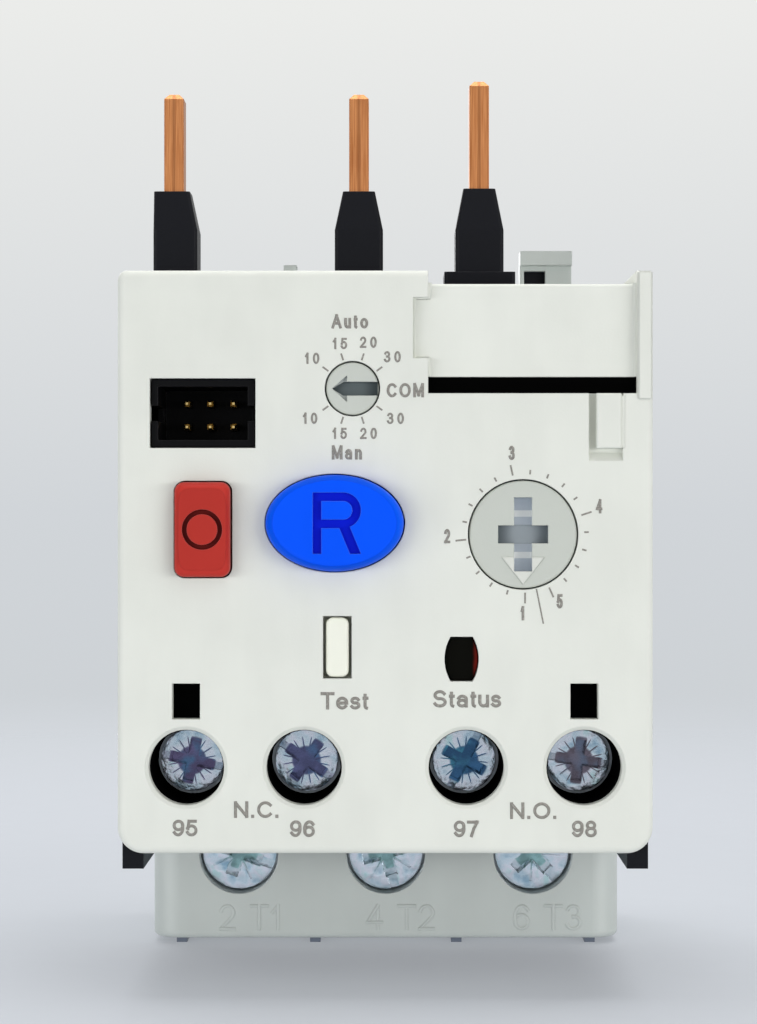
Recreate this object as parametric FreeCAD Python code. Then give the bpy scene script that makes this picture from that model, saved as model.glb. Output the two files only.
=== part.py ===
"""Solid-state overload relay, 45 mm wide, plugging into the load side of a contactor.

Millimetres. +Z is up, the operating face looks along -Y. X = 0 is the middle of the body,
Y = 0 is the plane of the three contactor stabs, and Z = 0 is the top of the housing.
"""
import FreeCAD, Part
import os
from FreeCAD import Vector

# Body
BODY_WIDTH = 45.0
COVER_DEPTH = 17.0
BACK_THICKNESS = 1.6
HOUSING_INSET = 0.1
BASE_INSET = 0.3
CORNER_RADIUS = 2.2
TOP_CORNER_RADIUS = 0.8
EDGE_RADIUS = 0.6
BASE_EDGE_RADIUS = 2.5

# Walls and clearances
FACE_WALL = 1.8
COVER_WALL = 1.4
HOUSING_WALL = 1.6
RUN_GAP = 0.12
SEAT_GAP = 0.1
WALL_GAP = 0.3
PIN_GAP = 0.05
ROOT = 0.5
OVERCUT = 1.0
NEAR = 1e-4

# Rows of the face, each measured down from the one above it
MODE_DROP = 9.94
RESET_STEP = 11.29
STATUS_STEP = 11.42
SCREW_STEP = 9.12
SCREW_FLOOR = 7.23
HEADER_LOWER = 2.06
STOP_LOWER = 0.54
DIAL_LOWER = 0.95
TEST_HIGHER = 0.99

# Columns of the face, measured in from the two sides
HEADER_INSET = 7.17
STOP_INSET = 7.21
DIAL_INSET = 10.92
SCREW_INSET = 5.78
SCREW_PITCH = 9.9
RESET_FROM_STOP = 11.06
MODE_FROM_RESET = 1.48
TEST_FROM_RESET = 0.21
STATUS_FROM_DIAL = -5.16

# Option bay in the upper right of the face
BAY_FROM_MODE = 6.36
BAY_DROP = 10.33
BAY_RIM = 1.34
BAY_SLOT = 1.4
BAY_TOP_DROP = 1.09
BAY_TONGUE = 1.26
BAY_TONGUE_TOP = 2.27
BAY_TONGUE_HEIGHT = 5.12
BAY_RECESS = 0.8
BAY_PLATE = 1.2
BAY_LEDGE = 1.2
BAY_FIT = 0.14
BAY_LEG_INSET = 3.5
BAY_LEG_WIDTH = 2.0
BAY_LEG_LENGTH = 4.0

# Latch finger under the option bay
LATCH_FROM_RIM = 1.34
LATCH_WIDTH = 2.1
LATCH_HEIGHT = 4.62
LATCH_PROUD = 0.3
LATCH_SIDE = 0.62
LATCH_FIT = 0.13
LATCH_POCKET = 0.8
LATCH_RAMP = 1.05

# Buttons
RESET_WIDTH = 11.56
RESET_HEIGHT = 8.07
RESET_PROUD = 2.0
RESET_TRAVEL = 2.0
RESET_EDGE = 0.7
RESET_STEM = 2.6
STOP_WIDTH = 4.66
STOP_HEIGHT = 7.93
STOP_PROUD = 1.5
STOP_TRAVEL = 1.5
STOP_CORNER = 0.8
STOP_EDGE = 0.45
STOP_STEM = 2.0
TEST_WIDTH = 1.92
TEST_HEIGHT = 5.0
TEST_RECESS = 0.2
TEST_TRAVEL = 1.5
TEST_CORNER = 0.6
TEST_EDGE = 0.2
TEST_STEM = 1.2
BUTTON_FLANGE = 0.7
FLANGE_THICKNESS = 1.0
BUTTON_BACK = 4.2
STEM_REST_GAP = 0.2

# Marks engraved in the buttons
ENGRAVING = 0.4
LETTER_HEIGHT = 5.1
LETTER_WIDTH = 4.0
LETTER_STROKE = 0.7
LETTER_BOWL = 1.48
LETTER_LEG = 0.9
LETTER_SHIFT = 0.2
RING_OUTER = 1.68
RING_STROKE = 0.39

# Coil springs behind the buttons
SPRING_WIRE = 0.45
SPRING_TURNS = 6
SPRING_INSET = 0.6

# Dials
MODE_DIAMETER = 4.42
CURRENT_DIAMETER = 9.05
DIAL_RECESS = 0.15
DIAL_EDGE = 0.15
DIAL_THICKNESS = 3.0
DIAL_SHAFT = 2.4
SHAFT_ENTRY = 2.0
MODE_SLOT = 1.16
MODE_SLOT_DEPTH = 1.1
MODE_TIP = 1.7
MODE_NECK = 0.77
MODE_BARB = 2.2
MODE_BARB_REACH = 0.47
MODE_BARB_DEPTH = 0.33
CROSS_TALL = 6.2
CROSS_WIDE = 4.2
CROSS_SLOT = 1.5
CROSS_DEPTH = 1.3
ARROW_BASE = 3.6
ARROW_LENGTH = 2.3
ARROW_EDGE = 0.32
ARROW_PROUD = 0.1

# Small openings of the face
HEADER_WIDTH = 8.88
HEADER_HEIGHT = 5.85
PROBE_WIDTH = 2.35
PROBE_HEIGHT = 3.0
PROBE_RISE = 5.57
STATUS_WIDTH = 2.88
STATUS_HEIGHT = 3.75
STATUS_FLAT = 1.87
STATUS_RECESS = 0.6

# Pin header for the plug-in module
HEADER_RECESS = 0.5
HEADER_RIM = 0.55
HEADER_CAVITY = 8.8
HEADER_NOTCH = 1.3
PIN_PITCH = 2.0
PIN_SIDE = 0.5
PIN_STAND = 3.5
PIN_CHAMFER = 0.15
PIN_OFFSET = 0.3
PIN_COLUMNS = 3
PIN_ROWS = 2

# Circuit board and what stands on it
BOARD_THICKNESS = 1.6
BOARD_SETBACK = 0.4
BOARD_GAP = 0.48
BOARD_ABOVE_STRIP = 1.27
CASE_HEIGHT = 5.0
MODE_CASE = 7.0
TRIMMER_CASE = 10.0
KEY_HEIGHT = 4.0
KEY_NUB = 0.4
RESET_KEY = 6.0
STOP_KEY = 5.0
TEST_KEY = 3.6
LED_SIDE = 1.8
LED_HEIGHT = 1.4
CHIP_WIDTH = 8.0
CHIP_HEIGHT = 6.0
CHIP_THICKNESS = 1.4
CHIP_DROP = 1.0
CAPACITOR_DIAMETER = 5.0
CAPACITOR_HEIGHT = 5.0
CAPACITOR_DROP = 3.2
CAPACITOR_SHIFT = 1.0

# Control terminals 95 to 98
WELL_DIAMETER = 6.35
WELL_CHAMFER = 0.3
WELL_STEP = 0.15
CONTROL_HEAD_DIAMETER = 5.4
CONTROL_HEAD_HEIGHT = 2.0
CONTROL_THREAD = 3.0
CONTROL_TRAVEL = 3.0
CONTROL_CLAMP = 6.4
CONTROL_CLAMP_THICKNESS = 1.1
CONTROL_CLOSED_GAP = 1.4
CONTROL_TIP = 2.4
CONTROL_TURN = {95: 12, 96: 35, 97: 118, 98: 8}
PAD_SETBACK = 0.5
STRIP_THICKNESS = 1.0
STRIP_WIDTH = 4.0
BLOCK_WALL = 0.45

# Drive recess of the terminal screws: angle, then reach, width and depth as shares
DRIVE_ARMS = ((0, 0.66, 1.0, 1.0), (90, 0.66, 1.0, 1.0), (0, 1.2, 0.75, 0.6),
              (45, 0.78, 0.2, 0.15), (135, 0.78, 0.2, 0.15))
DRIVE_DEPTH = 0.6
DRIVE_WIDTH = 0.17
HEAD_EDGE = 0.22
THREAD_CHAMFER = 0.15

# Load terminals
LOAD_STEP = 3.9
LOAD_FLOOR = 8.0
LOAD_WELL_DIAMETER = 7.5
LOAD_HEAD_DEPTH = 1.5
LOAD_HEAD_DIAMETER = 7.0
LOAD_HEAD_HEIGHT = 2.8
LOAD_THREAD = 4.0
LOAD_TRAVEL = 3.4
LOAD_CLAMP = 9.0
LOAD_CLAMP_THICKNESS = 1.4
LOAD_CLOSED_GAP = 1.8
LOAD_TIP = 2.1
LOAD_TURN = (20, 75, 48)
LOAD_END_WALL = 2.1
PAD_OVERHANG = 1.0
BAR_THICKNESS = 1.5
BAR_WIDTH = 5.0
BAR_ABOVE_STRIP = 4.0
BOSS_DIAMETER = 6.6
BOSS_LENGTH = 2.4
RIB_HEIGHT = 0.55
RIB_WIDTH = 1.0
RIB_SHIFT = 0.25
RIB_INSET = 2.7

# Contactor stabs and their sleeves
STAB_INSET = 3.0
STAB_STEP_LEFT = 17.04
STAB_STEP_RIGHT = 11.08
STAB_TOP = (18.2, 18.2, 19.4)
STAB_WIDTH = 1.8
STAB_DEPTH = 3.2
STAB_CHAMFER = 0.45
STAB_JOG = 4.4
SLEEVE_TOP = (9.2, 9.2, 9.46)
SLEEVE_SHOULDER = 5.6
SLEEVE_FLANGE = 1.68
SLEEVE_FLANGE_WIDTH = 6.5
SLEEVE_FLANGE_REACH = 1.0
SLEEVE_WIDTH = 4.43
SLEEVE_TIP = 2.95
SLEEVE_DEPTH = 5.6
SLEEVE_FLUSH = 0.35
SLEEVE_EDGE = 0.35

# Current transformers
CORE_DEPTH = 12.6
CORE_SPACE = 1.4
CORE_SIDE_GAP = 0.5
CORE_SHIFT = 0.1
CORE_LEG = 2.6
CORE_HEIGHT = 6.0
CORE_DROP = 3.3
CORE_REST = 10.0
COIL_WALL = 1.2
COIL_SIDE_GAP = 0.2
SHELF_THICKNESS = 1.0

# Trip solenoid and contact set
TRIP_TRAVEL = 1.15
CONTACT_GAP = 0.05
TIP_HEIGHT = 0.5
TIP_RADIUS = 1.0
BRIDGE_THICKNESS = 0.7
BRIDGE_DEPTH = 2.4
BRIDGE_END = 0.3
CARRIER_SIDE = 0.82
CARRIER_DEPTH = 3.4
ARM_THICKNESS = 1.2
NC_STRIP_RISE = 1.07
NO_STRIP_RISE = 5.0
YOKE_PLATE = 1.0
YOKE_SIDE_GAP = 0.8
YOKE_BACK_GAP = 0.2
YOKE_CLEAR = 1.1
COIL_DIAMETER = 8.4
COIL_CHEEK = 0.72
COIL_INSET = 0.42
PLUNGER_DIAMETER = 3.0
PLUNGER_CHAMFER = 0.3
GUIDE_WIDTH = 1.0

# Hook and key on top of the base
HOOK_INSET = 4.1
HOOK_WIDTH = 5.1
HOOK_RISE = 5.5
HOOK_FROM_BACK = 10.0
HOOK_DEPTH = 3.5
HOOK_NOSE = 1.2
HOOK_NOSE_HEIGHT = 1.4
HOOK_HOLE = 2.1
HOOK_HOLE_SIDE = 0.4
HOOK_HOLE_TOP = 3.6
KEY_INSET = 13.0
KEY_WIDTH = 1.3
KEY_RISE = 4.2

# Lips and catches that hold the cover on the housing
LIP_THICKNESS = 1.2
LIP_REACH = 2.5
CATCH_WIDTH = 5.0
CATCH_LENGTH = 1.2
CATCH_DROPS = (15.0, 28.0)
LEDGE_WIDTH = 2.6
LEDGE_DEPTH = 1.2

# Tongues of the housing that snap into the sides of the base
TONGUE_THICKNESS = 0.9
TONGUE_WIDTH = 7.0
TONGUE_LENGTH = 6.5
TONGUE_WINDOW = 3.0
TONGUE_WINDOW_REACH = 3.9
TONGUE_DROPS = (13.0, 36.0)

# Fingers of the housing that lap the lower corners of the cover
FINGER_WIDTH = 1.8
FINGER_DROP = 1.7
FINGER_RISE = 3.2
FINGER_SETBACK = 4.0

# Vents of the back plate
VENT_COUNT = 6
VENT_PITCH = 5.0
VENT_WIDTH = 24.0
VENT_HEIGHT = 1.4
VENT_CORNER = 0.6

# Derived planes from front to back
CORE_REAR = CORE_SHIFT + CORE_DEPTH / 2
CORE_FRONT = CORE_REAR - CORE_DEPTH
CAVITY_BACK = CORE_REAR
HOUSING_BACK = CAVITY_BACK + HOUSING_WALL
BOARD_REAR = CORE_FRONT - RUN_GAP - COIL_WALL - BOARD_GAP
BOARD_FRONT = BOARD_REAR - BOARD_THICKNESS
HOUSING_FRONT = BOARD_FRONT - BOARD_SETBACK
FACE = HOUSING_FRONT - COVER_DEPTH
INNER_FACE = FACE + FACE_WALL
BUTTON_REAR = FACE + BUTTON_BACK
HEADER_FRONT = FACE + HEADER_RECESS
HEADER_FLOOR = HEADER_FRONT + HEADER_CAVITY
KEY_FRONT = BOARD_FRONT - KEY_HEIGHT
CASE_FRONT = BOARD_FRONT - CASE_HEIGHT
PAD_BACK = HOUSING_FRONT - PAD_SETBACK
PAD_FRONT = PAD_BACK - STRIP_THICKNESS
CONTROL_CLAMP_BACK = PAD_FRONT - CONTROL_CLOSED_GAP - CONTROL_TRAVEL
CONTROL_CLAMP_FRONT = CONTROL_CLAMP_BACK - CONTROL_CLAMP_THICKNESS
CONTROL_HEAD = CONTROL_CLAMP_FRONT - CONTROL_HEAD_HEIGHT
LOAD_HEAD = HOUSING_BACK + LOAD_HEAD_DEPTH
LOAD_CLAMP_FRONT = LOAD_HEAD + LOAD_HEAD_HEIGHT
LOAD_CLAMP_BACK = LOAD_CLAMP_FRONT + LOAD_CLAMP_THICKNESS
LOAD_PAD = LOAD_CLAMP_BACK + LOAD_TRAVEL + LOAD_CLOSED_GAP
LOAD_PAD_BACK = LOAD_PAD + BAR_THICKNESS
LOAD_SCREW_END = LOAD_PAD_BACK + BOSS_LENGTH + LOAD_TIP
BASE_BACK = LOAD_SCREW_END + LOAD_TRAVEL + LOAD_END_WALL
REAR = BASE_BACK + BACK_THICKNESS
TRIP_Y = CAVITY_BACK - YOKE_BACK_GAP - COIL_DIAMETER / 2
STRIP_END = TRIP_Y + CARRIER_DEPTH / 2 - SEAT_GAP

# Derived heights
MODE_Z = -MODE_DROP
RESET_Z = MODE_Z - RESET_STEP
STATUS_Z = RESET_Z - STATUS_STEP
SCREW_Z = STATUS_Z - SCREW_STEP
COVER_BOTTOM = SCREW_Z - SCREW_FLOOR
COVER_FLOOR = COVER_BOTTOM + COVER_WALL
HEADER_Z = MODE_Z - HEADER_LOWER
STOP_Z = RESET_Z - STOP_LOWER
DIAL_Z = RESET_Z - DIAL_LOWER
TEST_Z = STATUS_Z + TEST_HIGHER
LOAD_Z = COVER_BOTTOM - LOAD_STEP
PAD_BOTTOM = LOAD_Z - LOAD_CLAMP / 2 - PAD_OVERHANG
BASE_BOTTOM = LOAD_Z - LOAD_FLOOR
BASE_TOP = -BASE_INSET
BLOCK_TOP = SCREW_Z + CONTROL_CLAMP / 2 + SEAT_GAP + BLOCK_WALL
CORE_TOP = -STAB_JOG - STAB_WIDTH - CORE_DROP
CORE_BOTTOM = CORE_TOP - CORE_HEIGHT
SHELF_TOP = CORE_BOTTOM - COIL_WALL - 2 * RUN_GAP - WALL_GAP
NC_STRIP_TOP = SCREW_Z + CONTROL_CLAMP / 2 + NC_STRIP_RISE
NO_STRIP_TOP = NC_STRIP_TOP + NO_STRIP_RISE
NC_BRIDGE_BOTTOM = NC_STRIP_TOP + 2 * TIP_HEIGHT + CONTACT_GAP
NO_TIP_BOTTOM = NO_STRIP_TOP - STRIP_THICKNESS - TIP_HEIGHT
NO_BRIDGE_TOP = NO_TIP_BOTTOM - TRIP_TRAVEL - CONTACT_GAP - TIP_HEIGHT
BAR_BOTTOM = NO_STRIP_TOP + BAR_ABOVE_STRIP
BAR_TOP = BAR_BOTTOM + BAR_THICKNESS
YOKE_TOP = NC_STRIP_TOP - STRIP_THICKNESS - YOKE_CLEAR
CARRIER_BOTTOM = YOKE_TOP + SEAT_GAP
CARRIER_TOP = NC_BRIDGE_BOTTOM + BRIDGE_THICKNESS + ARM_THICKNESS
BOARD_BOTTOM = NO_STRIP_TOP + BOARD_ABOVE_STRIP
BOARD_TOP = -COVER_WALL - SEAT_GAP - LIP_THICKNESS - WALL_GAP
LAMP_Z = BOARD_BOTTOM + LED_SIDE / 2 + WALL_GAP
TEST_KEY_Z = BOARD_BOTTOM + TEST_KEY / 2 + WALL_GAP

# Derived places from side to side
HALF = BODY_WIDTH / 2
CORNER_X = HALF - HOUSING_INSET
CAVITY_X = CORNER_X - HOUSING_WALL
BASE_HALF = HALF - BASE_INSET
LIP_X = HALF - COVER_WALL - SEAT_GAP
BOARD_HALF = LIP_X - LIP_THICKNESS - WALL_GAP
BLOCK_HALF = HALF - COVER_WALL - WALL_GAP
HEADER_X = HEADER_INSET - HALF
STOP_X = STOP_INSET - HALF
DIAL_X = HALF - DIAL_INSET
RESET_X = STOP_X + RESET_FROM_STOP
MODE_X = RESET_X + MODE_FROM_RESET
TEST_X = RESET_X + TEST_FROM_RESET
STATUS_X = DIAL_X + STATUS_FROM_DIAL
BAY_LEFT = MODE_X + BAY_FROM_MODE
BAY_RIGHT = HALF - BAY_RIM
SCREW_OUTER = HALF - SCREW_INSET
SCREW_INNER = SCREW_OUTER - SCREW_PITCH
SCREW_X = {95: -SCREW_OUTER, 96: -SCREW_INNER, 97: SCREW_INNER, 98: SCREW_OUTER}
CARRIER_HALF = SCREW_INNER - STRIP_WIDTH / 2 - CARRIER_SIDE
YOKE_HALF = COIL_DIAMETER / 2 + YOKE_SIDE_GAP + YOKE_PLATE
CORE_HALF = (CAVITY_X - CORE_SIDE_GAP - CORE_SPACE) / 3
LOAD_PITCH = 2 * CORE_HALF + CORE_SPACE
LOAD_X = (-LOAD_PITCH, 0.0, LOAD_PITCH)
COIL_HALF = CORE_HALF - CORE_LEG - COIL_SIDE_GAP
STAB_LEFT = STAB_INSET - HALF
STAB_MIDDLE = STAB_LEFT + STAB_STEP_LEFT
STAB_X = (STAB_LEFT, STAB_MIDDLE, STAB_MIDDLE + STAB_STEP_RIGHT)
RIB_X = (RIB_INSET - BASE_HALF, RIB_SHIFT - LOAD_PITCH / 2, LOAD_PITCH / 2 - RIB_SHIFT, BASE_HALF - RIB_INSET)
HOOK_X = HALF - HOOK_INSET - HOOK_WIDTH
KEY_X = KEY_INSET - HALF


def box(x0, x1, y0, y1, z0, z1):
    """Block between two corners."""
    return Part.makeBox(x1 - x0, y1 - y0, z1 - z0, Vector(x0, y0, z0))


def across(side, near, far, y0, y1, z0, z1):
    """Block on the left (-1) or right (1) side, between two distances from the middle."""
    low, high = sorted((side * near, side * far))
    return box(low, high, y0, y1, z0, z1)


def disc(x, z, radius, y0, y1):
    """Cylinder whose axis runs front to back."""
    return Part.makeCylinder(radius, y1 - y0, Vector(x, y0, z), Vector(0, 1, 0))


def post(x, y, radius, z0, z1):
    """Cylinder whose axis is upright."""
    return Part.makeCylinder(radius, z1 - z0, Vector(x, y, z0))


def funnel(x, z, front_radius, back_radius, y0, y1):
    """Cone whose axis runs front to back."""
    return Part.makeCone(front_radius, back_radius, y1 - y0, Vector(x, y0, z), Vector(0, 1, 0))


def plate(points, y0, y1):
    """Outline of (x, z) points, extruded from y0 back to y1."""
    corners = [Vector(x, y0, z) for x, z in points]
    face = Part.Face(Part.makePolygon(corners + corners[:1]))
    return face.extrude(Vector(0, y1 - y0, 0))


def side_plate(points, x0, x1):
    """Outline of (y, z) points, extruded from x0 to x1."""
    corners = [Vector(x0, y, z) for y, z in points]
    face = Part.Face(Part.makePolygon(corners + corners[:1]))
    return face.extrude(Vector(x1 - x0, 0, 0))


def oval(x, z, width, height, y0, y1):
    """Elliptical block, wider than it is tall."""
    face = Part.Face(Part.Wire(Part.Ellipse(Vector(0, 0, 0), width / 2, height / 2).toShape()))
    face.rotate(Vector(0, 0, 0), Vector(1, 0, 0), 90)
    face.translate(Vector(x, y0, z))
    return face.extrude(Vector(0, y1 - y0, 0))


def lengthwise(shape, axis):
    """Straight edges of a shape that run along one axis."""
    found = []
    for edge in shape.Edges:
        first, last = edge.firstVertex().Point, edge.lastVertex().Point
        span = last - first
        if span.Length > NEAR and abs(abs(span.dot(axis)) - span.Length) < NEAR:
            found.append(edge)
    return found


def edges_at(shape, y):
    """Edges of a shape that lie wholly in the plane of one y."""
    return [e for e in shape.Edges
            if abs(e.BoundBox.YMin - y) < NEAR and abs(e.BoundBox.YMax - y) < NEAR]


def pill(x, z, width, height, corner, y0, y1):
    """Rectangular block about a centre, with its four long edges rounded."""
    solid = box(x - width / 2, x + width / 2, y0, y1, z - height / 2, z + height / 2)
    return solid.makeFillet(corner, lengthwise(solid, Vector(0, 1, 0)))


def joined(shapes):
    """Shapes fused to one clean solid."""
    whole = shapes[0]
    for shape in shapes[1:]:
        whole = whole.fuse(shape)
    return whole.removeSplitter()


def cut_all(shape, tools):
    """Shape with every tool cut out of it."""
    for tool in tools:
        shape = shape.cut(tool)
    return shape


def barrel(width, height, y0, y1):
    """Status window outline: flat above and below, with bulging sides."""
    flat = (STATUS_FLAT + width - STATUS_WIDTH) / 2
    half = height / 2
    corners = [Vector(STATUS_X + sx * flat, y0, STATUS_Z + sz * half)
               for sx, sz in ((-1, -1), (1, -1), (1, 1), (-1, 1))]
    right = Vector(STATUS_X + width / 2, y0, STATUS_Z)
    left = Vector(STATUS_X - width / 2, y0, STATUS_Z)
    edges = [
        Part.LineSegment(corners[0], corners[1]).toShape(),
        Part.Arc(corners[1], right, corners[2]).toShape(),
        Part.LineSegment(corners[2], corners[3]).toShape(),
        Part.Arc(corners[3], left, corners[0]).toShape(),
    ]
    return Part.Face(Part.Wire(edges)).extrude(Vector(0, y1 - y0, 0))


def cover_shell():
    """Five-sided shell of the front cover, before its openings."""
    solid = box(-HALF, HALF, FACE, HOUSING_FRONT, COVER_BOTTOM, 0)
    long_edges = lengthwise(solid, Vector(0, 1, 0))
    lower = [e for e in long_edges if e.BoundBox.ZMax < COVER_BOTTOM + NEAR]
    solid = solid.makeFillet(CORNER_RADIUS, lower)
    upper = [e for e in lengthwise(solid, Vector(0, 1, 0)) if e.BoundBox.ZMin > -NEAR]
    solid = solid.makeFillet(TOP_CORNER_RADIUS, upper)
    solid = solid.makeFillet(EDGE_RADIUS, edges_at(solid, FACE))
    inner = box(COVER_WALL - HALF, HALF - COVER_WALL, INNER_FACE, HOUSING_FRONT,
                COVER_FLOOR, -COVER_WALL)
    return solid.cut(inner)


def finger_pockets(gap):
    """Room taken at the two lower corners by the fingers of the housing."""
    tools = []
    for side in (-1, 1):
        tools.append(across(side, CORNER_X - FINGER_WIDTH - gap, HALF + OVERCUT,
                            FACE + FINGER_SETBACK - gap, HOUSING_FRONT,
                            COVER_BOTTOM - OVERCUT, COVER_BOTTOM + FINGER_RISE + gap))
    return tools


def bay_cuts():
    """Cuts of the option bay: the bay itself, its notch, and the way through the top."""
    notch_top = -BAY_TONGUE_TOP
    return [
        box(BAY_LEFT, BAY_RIGHT, FACE - OVERCUT, INNER_FACE, -BAY_DROP, OVERCUT),
        box(BAY_LEFT, BAY_RIGHT, FACE - OVERCUT, HOUSING_FRONT + OVERCUT, -COVER_WALL - OVERCUT, OVERCUT),
        box(BAY_LEFT - BAY_TONGUE, BAY_LEFT, FACE - OVERCUT, INNER_FACE,
            notch_top - BAY_TONGUE_HEIGHT, notch_top),
    ]


def bay_ledges():
    """Ledges inside the cover that the option plate lies against."""
    back = FACE + BAY_RECESS + BAY_PLATE
    low, high = -BAY_TONGUE_TOP - BAY_TONGUE_HEIGHT, -BAY_TONGUE_TOP
    edge = BAY_LEFT - BAY_TONGUE
    low_end, high_end = low - BAY_LEDGE, high + BAY_LEDGE / 2
    left = box(edge - BAY_LEDGE, BAY_LEFT - BAY_FIT, back, back + BAY_LEDGE, low_end, high_end)
    left = left.fuse(box(edge - BAY_LEDGE, edge, INNER_FACE, back + BAY_LEDGE, low_end, high_end))
    right = box(BAY_RIGHT - BAY_LEDGE, HALF - COVER_WALL, back, back + BAY_LEDGE,
                low, -BAY_TOP_DROP - BAY_PLATE - BAY_FIT)
    return [left, right]


def latch_pocket():
    """Sunk pocket round the latch finger, with a ramp at its foot."""
    right = BAY_RIGHT - LATCH_FROM_RIM + LATCH_FIT
    left = right - LATCH_WIDTH - LATCH_SIDE - LATCH_FIT
    foot = -BAY_DROP - LATCH_HEIGHT
    floor = FACE + LATCH_POCKET
    top = ROOT - BAY_DROP
    profile = [(FACE - OVERCUT, top), (floor, top), (floor, foot - LATCH_RAMP / 3),
               (FACE, foot - LATCH_RAMP), (FACE - OVERCUT, foot - LATCH_RAMP)]
    return side_plate(profile, left, right)


def latch_finger():
    """Latch finger that stands a little proud of the face."""
    right = BAY_RIGHT - LATCH_FROM_RIM
    top, foot = -BAY_DROP, -BAY_DROP - LATCH_HEIGHT
    solid = box(right - LATCH_WIDTH, right, FACE - LATCH_PROUD, INNER_FACE, foot, top)
    return solid.makeFillet(LATCH_PROUD / 2, edges_at(solid, FACE - LATCH_PROUD))


def face_openings():
    """Openings of the face for the buttons, dials, header, window, probes and screws."""
    y0, y1 = FACE - OVERCUT, INNER_FACE + OVERCUT
    tools = [
        box(HEADER_X - HEADER_WIDTH / 2, HEADER_X + HEADER_WIDTH / 2, y0, y1,
            HEADER_Z - HEADER_HEIGHT / 2, HEADER_Z + HEADER_HEIGHT / 2),
        disc(MODE_X, MODE_Z, MODE_DIAMETER / 2 + RUN_GAP, y0, y1),
        disc(DIAL_X, DIAL_Z, CURRENT_DIAMETER / 2 + RUN_GAP, y0, y1),
        pill(STOP_X, STOP_Z, STOP_WIDTH + 2 * RUN_GAP, STOP_HEIGHT + 2 * RUN_GAP,
             STOP_CORNER + RUN_GAP, y0, y1),
        oval(RESET_X, RESET_Z, RESET_WIDTH + 2 * RUN_GAP, RESET_HEIGHT + 2 * RUN_GAP, y0, y1),
        box(TEST_X - TEST_WIDTH / 2 - 2 * RUN_GAP, TEST_X + TEST_WIDTH / 2 + 2 * RUN_GAP, y0, y1,
            TEST_Z - TEST_HEIGHT / 2 - RUN_GAP, TEST_Z + TEST_HEIGHT / 2 + RUN_GAP),
        barrel(STATUS_WIDTH, STATUS_HEIGHT, y0, y1),
    ]
    probe_low = SCREW_Z + PROBE_RISE - PROBE_HEIGHT / 2
    for side in (-1, 1):
        x = side * SCREW_OUTER
        tools.append(box(x - PROBE_WIDTH / 2, x + PROBE_WIDTH / 2, y0, y1,
                         probe_low, probe_low + PROBE_HEIGHT))
    for x in SCREW_X.values():
        tools.append(disc(x, SCREW_Z, WELL_DIAMETER / 2, y0, y1))
        tools.append(funnel(x, SCREW_Z, WELL_DIAMETER / 2 + WELL_CHAMFER, WELL_DIAMETER / 2,
                            FACE, FACE + WELL_CHAMFER))
        tools.append(box(x - CONTROL_CLAMP / 2, x + CONTROL_CLAMP / 2, CONTROL_CLAMP_BACK, PAD_FRONT,
                         COVER_BOTTOM - OVERCUT, COVER_FLOOR + OVERCUT))
    return tools


def front_cover():
    """Pale front cover with the operating face."""
    solid = cut_all(cover_shell(), finger_pockets(WALL_GAP) + bay_cuts())
    solid = joined([solid] + bay_ledges())
    solid = joined([solid.cut(latch_pocket()), latch_finger()])
    return cut_all(solid, face_openings() + catch_windows())


def option_cover():
    """Angled blank that closes the option bay from the front and from above."""
    front = FACE + BAY_RECESS
    back = front + BAY_PLATE
    left, right = BAY_LEFT + BAY_FIT, BAY_RIGHT - BAY_FIT
    top, bottom = -BAY_TOP_DROP, BAY_SLOT - BAY_DROP
    face = box(left, right, front, back, bottom, top)
    roof = box(left, right, front, HOUSING_FRONT - BAY_FIT, top - BAY_PLATE, top)
    tongue = box(BAY_LEFT - BAY_TONGUE + BAY_FIT, left, front, back,
                 BAY_FIT - BAY_TONGUE_TOP - BAY_TONGUE_HEIGHT, -BAY_TONGUE_TOP - BAY_FIT)
    solid = joined([face, roof, tongue])
    corner = [e for e in solid.Edges
              if abs(e.BoundBox.YMax - front) < NEAR and abs(e.BoundBox.ZMin - top) < NEAR]
    solid = solid.makeFillet(EDGE_RADIUS / 2, corner)
    legs = []
    half = BAY_LEG_WIDTH / 2
    for x in (left + BAY_LEG_INSET, right - BAY_LEG_INSET):
        legs.append(box(x - half, x + half, back, back + BAY_LEG_LENGTH, bottom, bottom + BAY_PLATE))
    return joined([solid] + legs)


def terminal_block():
    """Black block behind the face with the wells and chambers of the control terminals."""
    solid = box(-BLOCK_HALF, BLOCK_HALF, INNER_FACE, PAD_FRONT, COVER_FLOOR, BLOCK_TOP)
    half = CONTROL_CLAMP / 2 + SEAT_GAP
    tools = []
    for x in SCREW_X.values():
        tools.append(disc(x, SCREW_Z, WELL_DIAMETER / 2 - WELL_STEP, INNER_FACE, CONTROL_CLAMP_FRONT))
        tools.append(box(x - half, x + half, CONTROL_CLAMP_FRONT - SEAT_GAP, PAD_FRONT,
                         COVER_FLOOR, SCREW_Z + half))
    return cut_all(solid, tools + finger_pockets(2 * WALL_GAP))


def drive_recess(x, z, radius, front, depth, width, turn):
    """Cross and slot recess of a terminal screw, with four thin marks between the arms."""
    arms = []
    for angle, reach, wide_share, deep_share in DRIVE_ARMS:
        half, deep = wide_share * width / 2, deep_share * depth
        arm = box(x - reach * radius, x + reach * radius, front - OVERCUT, front + deep, z - half, z + half)
        arm.rotate(Vector(x, front, z), Vector(0, 1, 0), angle + turn)
        arms.append(arm)
    return arms


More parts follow.
